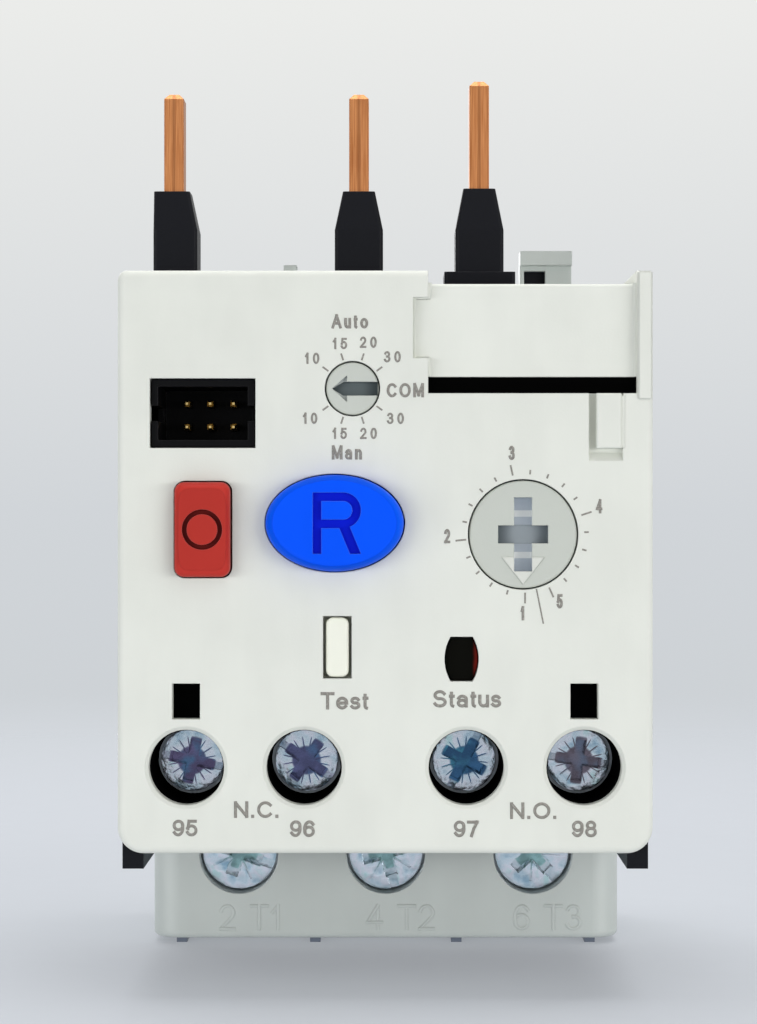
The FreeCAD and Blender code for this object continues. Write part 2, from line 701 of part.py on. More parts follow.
def terminal_screw(x, z, front, head_diameter, head_height, thread, tip, turn):
    """Pan-head terminal screw whose head front is at one y and whose end is at another."""
    radius = head_diameter / 2
    head = disc(x, z, radius, front, front + head_height)
    head = head.makeFillet(HEAD_EDGE * head_height, edges_at(head, front))
    shank = disc(x, z, thread / 2, front + head_height, tip)
    shank = shank.makeChamfer(THREAD_CHAMFER * thread, edges_at(shank, tip))
    solid = joined([head, shank])
    recess = drive_recess(x, z, radius, front, DRIVE_DEPTH * head_height, DRIVE_WIDTH * head_diameter, turn)
    return cut_all(solid, recess)


def clamp_plate(x, z, side, front, back, bore):
    """Square pressure plate under a terminal screw, with a step that grips the wire."""
    solid = box(x - side / 2, x + side / 2, front, back, z - side / 2, z + side / 2)
    groove = (back - front) / 4
    tools = [disc(x, z, bore, front, back)]
    for step in (-1, 1):
        low = z + step * side / 4
        tools.append(box(x - side / 2, x + side / 2, back - groove, back, low - groove, low + groove))
    return cut_all(solid, tools)


def control_screw(number):
    """Screw of one control terminal."""
    return terminal_screw(SCREW_X[number], SCREW_Z, CONTROL_HEAD, CONTROL_HEAD_DIAMETER,
                          CONTROL_HEAD_HEIGHT, CONTROL_THREAD, PAD_BACK + CONTROL_TIP,
                          CONTROL_TURN[number])


def control_clamp(number):
    """Pressure plate of one control terminal."""
    return clamp_plate(SCREW_X[number], SCREW_Z, CONTROL_CLAMP, CONTROL_CLAMP_FRONT,
                       CONTROL_CLAMP_BACK, CONTROL_THREAD / 2 + PIN_GAP)


def contact_strip(number):
    """Brass strip of one control terminal: threaded pad, riser, and tail with a fixed contact."""
    x = SCREW_X[number]
    closed = number in (95, 96)
    top = NC_STRIP_TOP if closed else NO_STRIP_TOP
    half = CONTROL_CLAMP / 2
    width = STRIP_WIDTH / 2
    pad = box(x - half, x + half, PAD_FRONT, PAD_BACK, SCREW_Z - half, SCREW_Z + half)
    riser = box(x - width, x + width, PAD_FRONT, PAD_BACK, SCREW_Z, top)
    tail = box(x - width, x + width, PAD_FRONT, STRIP_END, top - STRIP_THICKNESS, top)
    if closed:
        tip = post(x, TRIP_Y, TIP_RADIUS, top, top + TIP_HEIGHT)
    else:
        tip = post(x, TRIP_Y, TIP_RADIUS, NO_TIP_BOTTOM, NO_TIP_BOTTOM + TIP_HEIGHT)
    solid = joined([pad, riser, tail, tip])
    return solid.cut(disc(x, SCREW_Z, CONTROL_THREAD / 2 + PIN_GAP, PAD_FRONT, PAD_BACK))


def housing_fingers():
    """Side rails of the housing, whose front ends lap the lower corners of the cover."""
    rails = []
    for side in (-1, 1):
        inner = CORNER_X - FINGER_WIDTH
        front, bottom = FACE + FINGER_SETBACK, COVER_BOTTOM - FINGER_DROP
        rails.append(across(side, inner, CORNER_X, front, HOUSING_BACK, bottom, COVER_BOTTOM + ROOT))
        rails.append(across(side, inner, CORNER_X, front, HOUSING_FRONT + ROOT, bottom,
                            COVER_BOTTOM + FINGER_RISE))
    return rails


def housing_lips():
    """Lips that centre the cover on the housing, with a row of catches on each side."""
    front, back = HOUSING_FRONT - LIP_REACH, HOUSING_FRONT + HOUSING_WALL / 2
    top = -COVER_WALL - SEAT_GAP
    lips = [box(STAB_X[0], BAY_LEFT - LIP_REACH, front, back, top - LIP_THICKNESS, top)]
    for side in (-1, 1):
        lips.append(across(side, LIP_X - LIP_THICKNESS, LIP_X, front, back, BOARD_BOTTOM, -BAY_DROP))
        lips.append(across(side, LIP_X - LIP_THICKNESS, CORNER_X - HOUSING_WALL / 2,
                           HOUSING_FRONT, back, BOARD_BOTTOM, -BAY_DROP))
        for drop in CATCH_DROPS:
            lips.append(across(side, LIP_X, HALF - SEAT_GAP, front + SEAT_GAP,
                               front + SEAT_GAP + CATCH_LENGTH,
                               -drop - CATCH_WIDTH / 2, CATCH_WIDTH / 2 - drop))
    return lips


def catch_windows():
    """Windows in the sides of the cover for the catches of the housing."""
    front = HOUSING_FRONT - LIP_REACH
    half = CATCH_WIDTH / 2 + SEAT_GAP
    tools = []
    for side in (-1, 1):
        for drop in CATCH_DROPS:
            tools.append(across(side, HALF - 2 * COVER_WALL, HALF + OVERCUT, front,
                                front + CATCH_LENGTH + 2 * SEAT_GAP, -drop - half, half - drop))
    return tools


def snap_tongues(gap):
    """Tongues on the sides of the housing, or the room for them in the base."""
    half = TONGUE_WIDTH / 2 + gap
    inner = CORNER_X - TONGUE_THICKNESS - gap
    back = HOUSING_BACK + TONGUE_LENGTH + gap
    front = HOUSING_BACK if gap else HOUSING_BACK - HOUSING_WALL
    return [across(side, inner, CORNER_X, front, back, -drop - half, half - drop)
            for side in (-1, 1) for drop in TONGUE_DROPS]


def tongue_windows(gap):
    """Windows of the tongues, or the catches of the base that fill them."""
    half = TONGUE_WINDOW / 2 - gap
    middle = HOUSING_BACK + TONGUE_WINDOW_REACH
    inner = CORNER_X - TONGUE_THICKNESS - SEAT_GAP
    outer = BASE_HALF if gap else HALF + OVERCUT
    return [across(side, inner, outer, middle - half / 2, middle + half / 2, -drop - half, half - drop)
            for side in (-1, 1) for drop in TONGUE_DROPS]


def housing_inside():
    """Shelf, core rests, board ledges, terminal wall and carrier guides inside the housing."""
    pieces = [box(-CAVITY_X, CAVITY_X, CORE_FRONT - COIL_WALL - RUN_GAP, CAVITY_BACK,
                  SHELF_TOP - SHELF_THICKNESS, SHELF_TOP)]
    for x in LOAD_X:
        pieces.append(box(x - CORE_REST / 2, x + CORE_REST / 2, CORE_REAR - CORE_LEG, CAVITY_BACK,
                          SHELF_TOP, CORE_BOTTOM))
    for side in (-1, 1):
        pieces.append(across(side, CAVITY_X - LEDGE_WIDTH, CAVITY_X, BOARD_REAR, BOARD_REAR + LEDGE_DEPTH,
                             BOARD_BOTTOM, SHELF_TOP))
        edge = CARRIER_HALF + SEAT_GAP
        pieces.append(across(side, edge, edge + GUIDE_WIDTH, TRIP_Y + CARRIER_DEPTH / 2 + WALL_GAP,
                             CAVITY_BACK, YOKE_TOP, CARRIER_TOP + TRIP_TRAVEL))
    wall_back = PAD_BACK + LEDGE_DEPTH
    wall = box(-CAVITY_X, CAVITY_X, PAD_BACK, wall_back,
               COVER_FLOOR, NC_STRIP_TOP - STRIP_THICKNESS - WALL_GAP)
    pieces.append(cut_all(wall, [disc(x, SCREW_Z, CONTROL_THREAD / 2 + WALL_GAP, PAD_BACK, wall_back)
                                 for x in SCREW_X.values()]))
    return pieces


def bar_slots(y0, y1):
    """Slots through a wall for the three load bars."""
    half = BAR_WIDTH / 2 + SEAT_GAP
    return [box(x - half, x + half, y0, y1, BAR_BOTTOM - SEAT_GAP, BAR_TOP + SEAT_GAP) for x in LOAD_X]


def stab_holes(centres, z0, z1):
    """Holes through a floor for the three stabs."""
    half, deep = STAB_WIDTH / 2 + SEAT_GAP, STAB_DEPTH / 2 + SEAT_GAP
    return [box(x - half, x + half, -deep, deep, z0, z1) for x in centres]


def mid_housing():
    """Black middle housing: a tube with a back wall, fingers, and seats for what it holds."""
    solid = box(-CORNER_X, CORNER_X, HOUSING_FRONT, HOUSING_BACK, COVER_BOTTOM + HOUSING_INSET, 0)
    solid = solid.cut(box(-CAVITY_X, CAVITY_X, HOUSING_FRONT, CAVITY_BACK, COVER_FLOOR, -HOUSING_WALL))
    solid = joined([solid] + housing_inside() + housing_lips() + housing_fingers() + snap_tongues(0))
    tools = tongue_windows(0) + bar_slots(CAVITY_BACK, HOUSING_BACK)
    tools += stab_holes(STAB_X, -HOUSING_WALL, 0)
    tools += stab_holes(LOAD_X, SHELF_TOP - SHELF_THICKNESS, SHELF_TOP)
    return cut_all(solid, tools)


def base_hook():
    """Hook with a window, and the small key beside it, on top of the base."""
    back = BASE_BACK - HOOK_FROM_BACK
    low = BASE_TOP - ROOT
    front = back - HOOK_NOSE
    hole_left = HOOK_X + HOOK_HOLE_SIDE
    hook = box(HOOK_X, HOOK_X + HOOK_WIDTH, back, back + HOOK_DEPTH, low, HOOK_RISE)
    nose = box(HOOK_X, HOOK_X + HOOK_WIDTH, front, back, HOOK_RISE - HOOK_NOSE_HEIGHT, HOOK_RISE)
    hole = box(hole_left, hole_left + HOOK_HOLE, front, back + HOOK_DEPTH, BASE_TOP, HOOK_HOLE_TOP)
    key = box(KEY_X - KEY_WIDTH / 2, KEY_X + KEY_WIDTH / 2, back, back + HOOK_DEPTH, low, KEY_RISE)
    return [joined([hook, nose]).cut(hole), key]


def load_chamber(x):
    """Cuts for one load terminal: well, clamp chamber, wire entry, bar slot and screw room."""
    half = LOAD_CLAMP / 2 + SEAT_GAP
    return [
        disc(x, LOAD_Z, LOAD_WELL_DIAMETER / 2, HOUSING_BACK, LOAD_CLAMP_FRONT),
        box(x - half, x + half, LOAD_CLAMP_FRONT - SEAT_GAP, LOAD_PAD, LOAD_Z - half, LOAD_Z + half),
        box(x - half, x + half, LOAD_CLAMP_BACK, LOAD_PAD, BASE_BOTTOM - OVERCUT, LOAD_Z),
        box(x - half, x + half, LOAD_PAD, LOAD_PAD_BACK, PAD_BOTTOM, LOAD_Z + 2 * half),
        disc(x, LOAD_Z, BOSS_DIAMETER / 2 + SEAT_GAP, LOAD_PAD_BACK, LOAD_PAD_BACK + BOSS_LENGTH),
        disc(x, LOAD_Z, LOAD_THREAD / 2 + WALL_GAP, LOAD_PAD_BACK,
             LOAD_SCREW_END + LOAD_TRAVEL + LOAD_END_WALL / 2),
    ]


def terminal_base():
    """Grey power base with the load terminals at its foot and the hook on its top."""
    solid = box(-BASE_HALF, BASE_HALF, HOUSING_BACK, BASE_BACK, BASE_BOTTOM, BASE_TOP)
    front = [e for e in lengthwise(solid, Vector(0, 0, 1)) if e.BoundBox.YMax < HOUSING_BACK + NEAR]
    solid = solid.makeFillet(BASE_EDGE_RADIUS, front)
    solid = solid.makeFillet(EDGE_RADIUS, [e for e in edges_at(solid, HOUSING_BACK)
                                           if e.BoundBox.ZMax < BASE_BOTTOM + NEAR])
    cavity_floor = LOAD_Z + LOAD_CLAMP / 2 + 2 * HOUSING_WALL
    solid = solid.cut(box(HOUSING_WALL - BASE_HALF, BASE_HALF - HOUSING_WALL, HOUSING_BACK + HOUSING_WALL,
                          BASE_BACK, cavity_floor, BASE_TOP - HOUSING_WALL))
    ribs = []
    for x in RIB_X:
        ribs.append(box(x - RIB_WIDTH / 2, x + RIB_WIDTH / 2, HOUSING_BACK + LOAD_HEAD_DEPTH, BASE_BACK,
                        BASE_BOTTOM - RIB_HEIGHT, BASE_BOTTOM + ROOT))
    solid = cut_all(solid, snap_tongues(SEAT_GAP))
    solid = joined([solid] + ribs + base_hook() + tongue_windows(SEAT_GAP))
    tools = bar_slots(HOUSING_BACK, HOUSING_BACK + HOUSING_WALL)
    for x in LOAD_X:
        tools += load_chamber(x)
    return cut_all(solid, tools)


def back_plate():
    """Grey plate that closes the base from behind, with a column of vents."""
    solid = box(-BASE_HALF, BASE_HALF, BASE_BACK, REAR, BASE_BOTTOM, BASE_TOP)
    solid = solid.makeFillet(EDGE_RADIUS, edges_at(solid, REAR))
    middle = (LOAD_Z + BASE_TOP) / 2
    tools = []
    for step in range(VENT_COUNT):
        z = middle + (step - (VENT_COUNT - 1) / 2) * VENT_PITCH
        tools.append(pill(0, z, VENT_WIDTH, VENT_HEIGHT, VENT_CORNER, BASE_BACK, REAR))
    return cut_all(solid, tools)


def line_stab(index):
    """Copper stab: up through its sleeve, a jog inside the housing, and down through its core."""
    stab_x, load_x = STAB_X[index], LOAD_X[index]
    half, deep = STAB_WIDTH / 2, STAB_DEPTH / 2
    jog_low = -STAB_JOG - STAB_WIDTH
    upper = box(stab_x - half, stab_x + half, -deep, deep, jog_low, STAB_TOP[index])
    top_edges = [e for e in upper.Edges if e.BoundBox.ZMin > STAB_TOP[index] - NEAR]
    upper = upper.makeChamfer(STAB_CHAMFER, top_edges)
    jog = box(min(stab_x, load_x) - half, max(stab_x, load_x) + half, -deep, deep, jog_low, -STAB_JOG)
    lower = box(load_x - half, load_x + half, -deep, deep, BAR_TOP, -STAB_JOG)
    return joined([upper, jog, lower])


def stab_sleeve(index):
    """Black insulating sleeve of one stab, standing on top of the housing."""
    x = STAB_X[index]
    top = SLEEVE_TOP[index]
    base, tip, flange = SLEEVE_WIDTH / 2, SLEEVE_TIP / 2, SLEEVE_FLANGE_WIDTH / 2
    left_base, left_tip, left_flange = -base, -tip, -flange
    if index == 0:
        left_base = left_tip = left_flange = -tip - SLEEVE_FLUSH
    front = plate([(x + left_base, SLEEVE_FLANGE), (x + base, SLEEVE_FLANGE), (x + base, SLEEVE_SHOULDER),
                   (x + tip, top), (x + left_tip, top), (x + left_base, SLEEVE_SHOULDER)],
                  -SLEEVE_DEPTH, SLEEVE_DEPTH)
    deep, slim = SLEEVE_DEPTH / 2, SLEEVE_DEPTH / 2 - (SLEEVE_WIDTH - SLEEVE_TIP) / 2
    side = side_plate([(-deep, SLEEVE_FLANGE), (deep, SLEEVE_FLANGE), (deep, SLEEVE_SHOULDER),
                       (slim, top), (-slim, top), (-deep, SLEEVE_SHOULDER)], x - flange, x + flange)
    body = front.common(side)
    rising = [e for e in body.Edges if e.BoundBox.ZLength > SLEEVE_EDGE]
    body = body.makeFillet(SLEEVE_EDGE, rising)
    reach = deep + SLEEVE_FLANGE_REACH
    foot = box(x + left_flange, x + flange, -reach, reach, 0, SLEEVE_FLANGE)
    foot = foot.makeFillet(SLEEVE_EDGE, lengthwise(foot, Vector(0, 0, 1)))
    half, inside = STAB_WIDTH / 2 + SEAT_GAP, STAB_DEPTH / 2 + SEAT_GAP
    return joined([body, foot]).cut(box(x - half, x + half, -inside, inside, 0, top))


def load_bar(index):
    """Copper bar from the foot of a stab back to its load terminal."""
    x = LOAD_X[index]
    half = BAR_WIDTH / 2
    pad = LOAD_CLAMP / 2
    shelf = box(x - half, x + half, -STAB_DEPTH / 2, LOAD_PAD_BACK, BAR_BOTTOM, BAR_TOP)
    drop = box(x - half, x + half, LOAD_PAD, LOAD_PAD_BACK, LOAD_Z, BAR_TOP)
    foot = box(x - pad, x + pad, LOAD_PAD, LOAD_PAD_BACK, PAD_BOTTOM, LOAD_Z + LOAD_CLAMP / 2)
    boss = disc(x, LOAD_Z, BOSS_DIAMETER / 2, LOAD_PAD_BACK, LOAD_PAD_BACK + BOSS_LENGTH)
    solid = joined([shelf, drop, foot, boss])
    return solid.cut(disc(x, LOAD_Z, LOAD_THREAD / 2 + PIN_GAP, LOAD_PAD, LOAD_PAD_BACK + BOSS_LENGTH))


def load_screw(index):
    """Screw of one load terminal."""
    return terminal_screw(LOAD_X[index], LOAD_Z, LOAD_HEAD, LOAD_HEAD_DIAMETER, LOAD_HEAD_HEIGHT,
                          LOAD_THREAD, LOAD_SCREW_END, LOAD_TURN[index])


def load_clamp(index):
    """Pressure plate of one load terminal."""
    return clamp_plate(LOAD_X[index], LOAD_Z, LOAD_CLAMP, LOAD_CLAMP_FRONT, LOAD_CLAMP_BACK,
                       LOAD_THREAD / 2 + PIN_GAP)


def ct_core(index):
    """Square iron core of one current transformer, round its stab."""
    x = LOAD_X[index]
    solid = box(x - CORE_HALF, x + CORE_HALF, CORE_FRONT, CORE_REAR, CORE_BOTTOM, CORE_TOP)
    inner = CORE_HALF - CORE_LEG
    return solid.cut(box(x - inner, x + inner, CORE_FRONT + CORE_LEG, CORE_REAR - CORE_LEG,
                         CORE_BOTTOM, CORE_TOP))


def ct_coil(index):
    """Copper winding on the front leg of one core."""
    x = LOAD_X[index]
    half = COIL_HALF
    front, back = CORE_FRONT - RUN_GAP, CORE_FRONT + CORE_LEG + RUN_GAP
    low, high = CORE_BOTTOM - RUN_GAP, CORE_TOP + RUN_GAP
    solid = box(x - half, x + half, front - COIL_WALL, back + COIL_WALL, low - COIL_WALL, high + COIL_WALL)
    solid = solid.makeFillet(0.45 * COIL_WALL, lengthwise(solid, Vector(1, 0, 0)))
    return solid.cut(box(x - half, x + half, front, back, low, high))


def letter_cut(front):
    """Engraved letter R on the reset button: stem, bowl and leg."""
    left = RESET_X - LETTER_WIDTH / 2 + LETTER_SHIFT
    right = left + LETTER_WIDTH
    bottom, top = RESET_Z - LETTER_HEIGHT / 2, RESET_Z + LETTER_HEIGHT / 2
    y0, y1 = front - OVERCUT, front + ENGRAVING
    bowl = LETTER_BOWL
    inner = bowl - LETTER_STROKE
    centre_x, centre_z = right - bowl, top - bowl
    outside = joined([box(left, centre_x, y0, y1, centre_z - bowl, top),
                      disc(centre_x, centre_z, bowl, y0, y1)])
    hollow = joined([box(left + LETTER_STROKE, centre_x, y0, y1, centre_z - inner, centre_z + inner),
                     disc(centre_x, centre_z, inner, y0, y1)])
    stem = box(left, left + LETTER_STROKE, y0, y1, bottom, top)
    leg_top = centre_z - bowl + LETTER_STROKE / 2
    leg = plate([(centre_x - LETTER_LEG / 2, leg_top), (centre_x + LETTER_LEG / 2, leg_top),
                 (right, bottom), (right - LETTER_LEG, bottom)], y0, y1)
    return joined([outside.cut(hollow), stem, leg])


def reset_button():
    """Blue oval reset button with its flange and stem."""
    front, back = FACE - RESET_PROUD, BUTTON_REAR
    solid = oval(RESET_X, RESET_Z, RESET_WIDTH, RESET_HEIGHT, front, back)
    solid = solid.makeFillet(RESET_EDGE, edges_at(solid, front))
    flange_front = INNER_FACE + WALL_GAP
    flange = oval(RESET_X, RESET_Z, RESET_WIDTH + 2 * BUTTON_FLANGE, RESET_HEIGHT + 2 * BUTTON_FLANGE,
                  flange_front, flange_front + FLANGE_THICKNESS)
    stem = disc(RESET_X, RESET_Z, RESET_STEM / 2, back, KEY_FRONT - KEY_NUB - RESET_TRAVEL - STEM_REST_GAP)
    return joined([solid, flange, stem]).cut(letter_cut(front))


def stop_button():
    """Red stop button with its flange, stem and engraved ring."""
    front, back = FACE - STOP_PROUD, BUTTON_REAR
    solid = pill(STOP_X, STOP_Z, STOP_WIDTH, STOP_HEIGHT, STOP_CORNER, front, back)
    solid = solid.makeFillet(STOP_EDGE, edges_at(solid, front))
    flange_front = INNER_FACE + WALL_GAP
    flange = pill(STOP_X, STOP_Z, STOP_WIDTH + 2 * BUTTON_FLANGE, STOP_HEIGHT + 2 * BUTTON_FLANGE,
                  STOP_CORNER, flange_front, flange_front + FLANGE_THICKNESS)
    stem = disc(STOP_X, STOP_Z, STOP_STEM / 2, back, KEY_FRONT - KEY_NUB - STOP_TRAVEL - STEM_REST_GAP)
    y0, y1 = front - OVERCUT, front + ENGRAVING
    ring = disc(STOP_X, STOP_Z, RING_OUTER, y0, y1)
    ring = ring.cut(disc(STOP_X, STOP_Z, RING_OUTER - RING_STROKE, y0, y1))
    return joined([solid, flange, stem]).cut(ring)


def test_plunger():
    """Warm white test plunger with its flange and an off-centre stem."""
    front, back = FACE + TEST_RECESS, BUTTON_REAR
    solid = pill(TEST_X, TEST_Z, TEST_WIDTH, TEST_HEIGHT, TEST_CORNER, front, back)
    solid = solid.makeFillet(TEST_EDGE, edges_at(solid, front))
    flange_front = INNER_FACE + WALL_GAP
    flange = pill(TEST_X, TEST_Z, TEST_WIDTH + 2 * BUTTON_FLANGE, TEST_HEIGHT + 2 * BUTTON_FLANGE,
                  TEST_CORNER, flange_front, back)
    stem = disc(TEST_X, TEST_KEY_Z, TEST_STEM / 2, back, KEY_FRONT - KEY_NUB - TEST_TRAVEL - STEM_REST_GAP)
    return joined([solid, flange, stem])


def coil_spring(x, z, radius, y0, y1):
    """Round-wire compression spring between two planes, its axis front to back."""
    wire = SPRING_WIRE / 2
    clear = wire + PIN_GAP
    length = y1 - y0 - 2 * clear
    path = Part.makeHelix(length / SPRING_TURNS, length, radius)
    ring = Part.Wire(Part.Circle(Vector(radius, 0, 0), Vector(0, 1, 0), wire).toShape())
    solid = Part.Wire(path).makePipeShell([ring], True, True)
    solid.rotate(Vector(0, 0, 0), Vector(1, 0, 0), -90)
    solid.translate(Vector(x, y0 + clear, z))
    return solid


def button_spring(x, z, key):
    """Return spring between the back of a button and the key behind it."""
    return coil_spring(x, z, key / 2 - SPRING_INSET, BUTTON_REAR, KEY_FRONT)


def mode_dial():
    """Small mode dial with an arrow-shaped slot that points left."""
    front, back = FACE + DIAL_RECESS, FACE + DIAL_RECESS + DIAL_THICKNESS
    radius = MODE_DIAMETER / 2
    solid = disc(MODE_X, MODE_Z, radius, front, back)
    solid = solid.makeFillet(DIAL_EDGE, edges_at(solid, front))
    shaft = disc(MODE_X, MODE_Z, DIAL_SHAFT / 2, back, CASE_FRONT + SHAFT_ENTRY)
    half = MODE_SLOT / 2
    end, tip, neck = MODE_X + radius + OVERCUT, MODE_X - MODE_TIP, MODE_X - MODE_NECK
    slot = plate([(end, MODE_Z - half), (end, MODE_Z + half), (neck, MODE_Z + half), (tip, MODE_Z),
                  (neck, MODE_Z - half)], front - OVERCUT, front + MODE_SLOT_DEPTH)
    wing, barb = MODE_X - MODE_BARB_REACH, MODE_BARB / 2
    barbs = plate([(tip, MODE_Z), (wing, MODE_Z - barb), (wing, MODE_Z + barb)],
                  front - OVERCUT, front + MODE_BARB_DEPTH)
    return cut_all(joined([solid, shaft]), [slot, barbs])


def current_dial():
    """Current setting dial with a cross slot and a raised arrow that points down."""
    front, back = FACE + DIAL_RECESS, FACE + DIAL_RECESS + DIAL_THICKNESS
    radius = CURRENT_DIAMETER / 2
    solid = disc(DIAL_X, DIAL_Z, radius, front, back)
    solid = solid.makeFillet(DIAL_EDGE, edges_at(solid, front))
    shaft = disc(DIAL_X, DIAL_Z, DIAL_SHAFT / 2, back, CASE_FRONT + SHAFT_ENTRY)
    tip = DIAL_Z - radius + ARROW_EDGE
    arrow = plate([(DIAL_X, tip), (DIAL_X + ARROW_BASE / 2, tip + ARROW_LENGTH),
                   (DIAL_X - ARROW_BASE / 2, tip + ARROW_LENGTH)], front - ARROW_PROUD, back)
    half = CROSS_SLOT / 2
    y0, y1 = front - OVERCUT, front + CROSS_DEPTH
    upright = box(DIAL_X - half, DIAL_X + half, y0, y1, DIAL_Z - CROSS_TALL / 2, DIAL_Z + CROSS_TALL / 2)
    level = box(DIAL_X - CROSS_WIDE / 2, DIAL_X + CROSS_WIDE / 2, y0, y1, DIAL_Z - half, DIAL_Z + half)
    return cut_all(joined([solid, shaft, arrow]), [upright, level])


def rotary_case(x, z, side):
    """Case of a rotary switch or trimmer on the board, with a bore for its shaft."""
    half = side / 2
    solid = box(x - half, x + half, CASE_FRONT, BOARD_FRONT, z - half, z + half)
    solid = solid.makeFillet(EDGE_RADIUS, lengthwise(solid, Vector(0, 1, 0)))
    return solid.cut(disc(x, z, DIAL_SHAFT / 2 + PIN_GAP, CASE_FRONT, CASE_FRONT + SHAFT_ENTRY + SEAT_GAP))


def status_lens():
    """Smoked status window with a light guide back to the lamp on the board."""
    front = barrel(STATUS_WIDTH - 2 * RUN_GAP, STATUS_HEIGHT - 2 * RUN_GAP, FACE + STATUS_RECESS, INNER_FACE)
    half = STATUS_WIDTH / 2 + BUTTON_FLANGE
    low = STATUS_Z - STATUS_HEIGHT / 2 - BUTTON_FLANGE
    light = LED_SIDE / 2
    flange = box(STATUS_X - half, STATUS_X + half, INNER_FACE, INNER_FACE + FLANGE_THICKNESS,
                 low, LAMP_Z + light)
    guide = box(STATUS_X - light, STATUS_X + light, INNER_FACE, BOARD_FRONT - LED_HEIGHT - WALL_GAP,
                LAMP_Z - light, LAMP_Z + light)
    return joined([front, flange, guide])


def header_pin_places():
    """Centres of the header pins, by column and row."""
    places = []
    for column in range(PIN_COLUMNS):
        for row in range(PIN_ROWS):
            x = HEADER_X + PIN_OFFSET + (column - (PIN_COLUMNS - 1) / 2) * PIN_PITCH
            z = HEADER_Z + (row - (PIN_ROWS - 1) / 2) * PIN_PITCH
            places.append((x, z))
    return places


def header_shroud():
    """Dark shroud of the pin header, standing on the board and reaching the face."""
    wide, tall = HEADER_WIDTH / 2 - RUN_GAP, HEADER_HEIGHT / 2 - RUN_GAP
    left, right = HEADER_X - wide, HEADER_X + wide
    solid = box(left, right, HEADER_FRONT, BOARD_FRONT, HEADER_Z - tall, HEADER_Z + tall)
    rim, notch = HEADER_RIM, HEADER_NOTCH / 2
    tools = [box(left + rim, right - rim, HEADER_FRONT, HEADER_FLOOR,
                 HEADER_Z - tall + rim, HEADER_Z + tall - rim),
             box(left, right, HEADER_FRONT, HEADER_FLOOR - 2 * rim, HEADER_Z - notch, HEADER_Z + notch)]
    half = PIN_SIDE / 2 + PIN_GAP
    for x, z in header_pin_places():
        tools.append(box(x - half, x + half, HEADER_FLOOR, BOARD_FRONT, z - half, z + half))
    return cut_all(solid, tools)


def header_pins():
    """Six gold pins of the header, with bevelled tips."""
    tip = HEADER_FLOOR - PIN_STAND
    half = PIN_SIDE / 2
    pins = []
    for x, z in header_pin_places():
        pin = box(x - half, x + half, tip, BOARD_FRONT, z - half, z + half)
        pins.append(pin.makeChamfer(PIN_CHAMFER, edges_at(pin, tip)))
    return Part.makeCompound(pins)


def control_board():
    """Circuit board behind the face."""
    solid = box(-BOARD_HALF, BOARD_HALF, BOARD_FRONT, BOARD_REAR, BOARD_BOTTOM, BOARD_TOP)
    return solid.makeFillet(EDGE_RADIUS, lengthwise(solid, Vector(0, 1, 0)))


def key_switch(x, z, side):
    """Push switch on the board: square case with a round nub."""
    half = side / 2
    case = box(x - half, x + half, KEY_FRONT, BOARD_FRONT, z - half, z + half)
    return joined([case, disc(x, z, side / 6, KEY_FRONT - KEY_NUB, KEY_FRONT)])


def board_chips():
    """Push switches, status lamp, processor and storage capacitor on the front of the board."""
    lamp, chip, tall = LED_SIDE / 2, CHIP_WIDTH / 2, CHIP_HEIGHT / 2
    chip_z = -BAY_DROP - CHIP_DROP
    return Part.makeCompound([
        key_switch(RESET_X, RESET_Z, RESET_KEY),
        key_switch(STOP_X, STOP_Z, STOP_KEY),
        key_switch(TEST_X, TEST_KEY_Z, TEST_KEY),
        box(STATUS_X - lamp, STATUS_X + lamp, BOARD_FRONT - LED_HEIGHT, BOARD_FRONT,
            LAMP_Z - lamp, LAMP_Z + lamp),
        box(DIAL_X - chip, DIAL_X + chip, BOARD_FRONT - CHIP_THICKNESS, BOARD_FRONT,
            chip_z - tall, chip_z + tall),
        disc(DIAL_X + CAPACITOR_SHIFT, BOARD_TOP - CAPACITOR_DROP, CAPACITOR_DIAMETER / 2,
             BOARD_FRONT - CAPACITOR_HEIGHT, BOARD_FRONT),
    ])


def solenoid_yoke():
    """Steel frame of the trip solenoid: floor, roof with a bore, and two sides."""
    deep = COIL_DIAMETER / 2
    half = YOKE_HALF
    y0, y1 = TRIP_Y - deep, TRIP_Y + deep
    outer = box(-half, half, y0, y1, COVER_FLOOR, YOKE_TOP)
    outer = outer.cut(box(YOKE_PLATE - half, half - YOKE_PLATE, y0, y1,
                          COVER_FLOOR + YOKE_PLATE, YOKE_TOP - YOKE_PLATE))
    return outer.cut(post(0, TRIP_Y, PLUNGER_DIAMETER / 2 + RUN_GAP, YOKE_TOP - YOKE_PLATE, YOKE_TOP))


def solenoid_coil():
    """Winding of the trip solenoid with two bobbin cheeks."""
    low, high = COVER_FLOOR + YOKE_PLATE, YOKE_TOP - YOKE_PLATE
    radius = COIL_DIAMETER / 2
    solid = joined([post(0, TRIP_Y, radius, low, low + COIL_CHEEK),
                    post(0, TRIP_Y, radius - COIL_INSET, low, high),
                    post(0, TRIP_Y, radius, high - COIL_CHEEK, high)])
    return solid.cut(post(0, TRIP_Y, PLUNGER_DIAMETER / 2 + RUN_GAP, low, high))


def solenoid_plunger():
    """Steel plunger of the trip solenoid, under the contact carrier."""
    low = COVER_FLOOR + YOKE_PLATE + SEAT_GAP
    solid = post(0, TRIP_Y, PLUNGER_DIAMETER / 2, low, CARRIER_BOTTOM)
    lower = [e for e in solid.Edges if e.BoundBox.ZMax < low + NEAR]
    return solid.makeChamfer(PLUNGER_CHAMFER, lower)


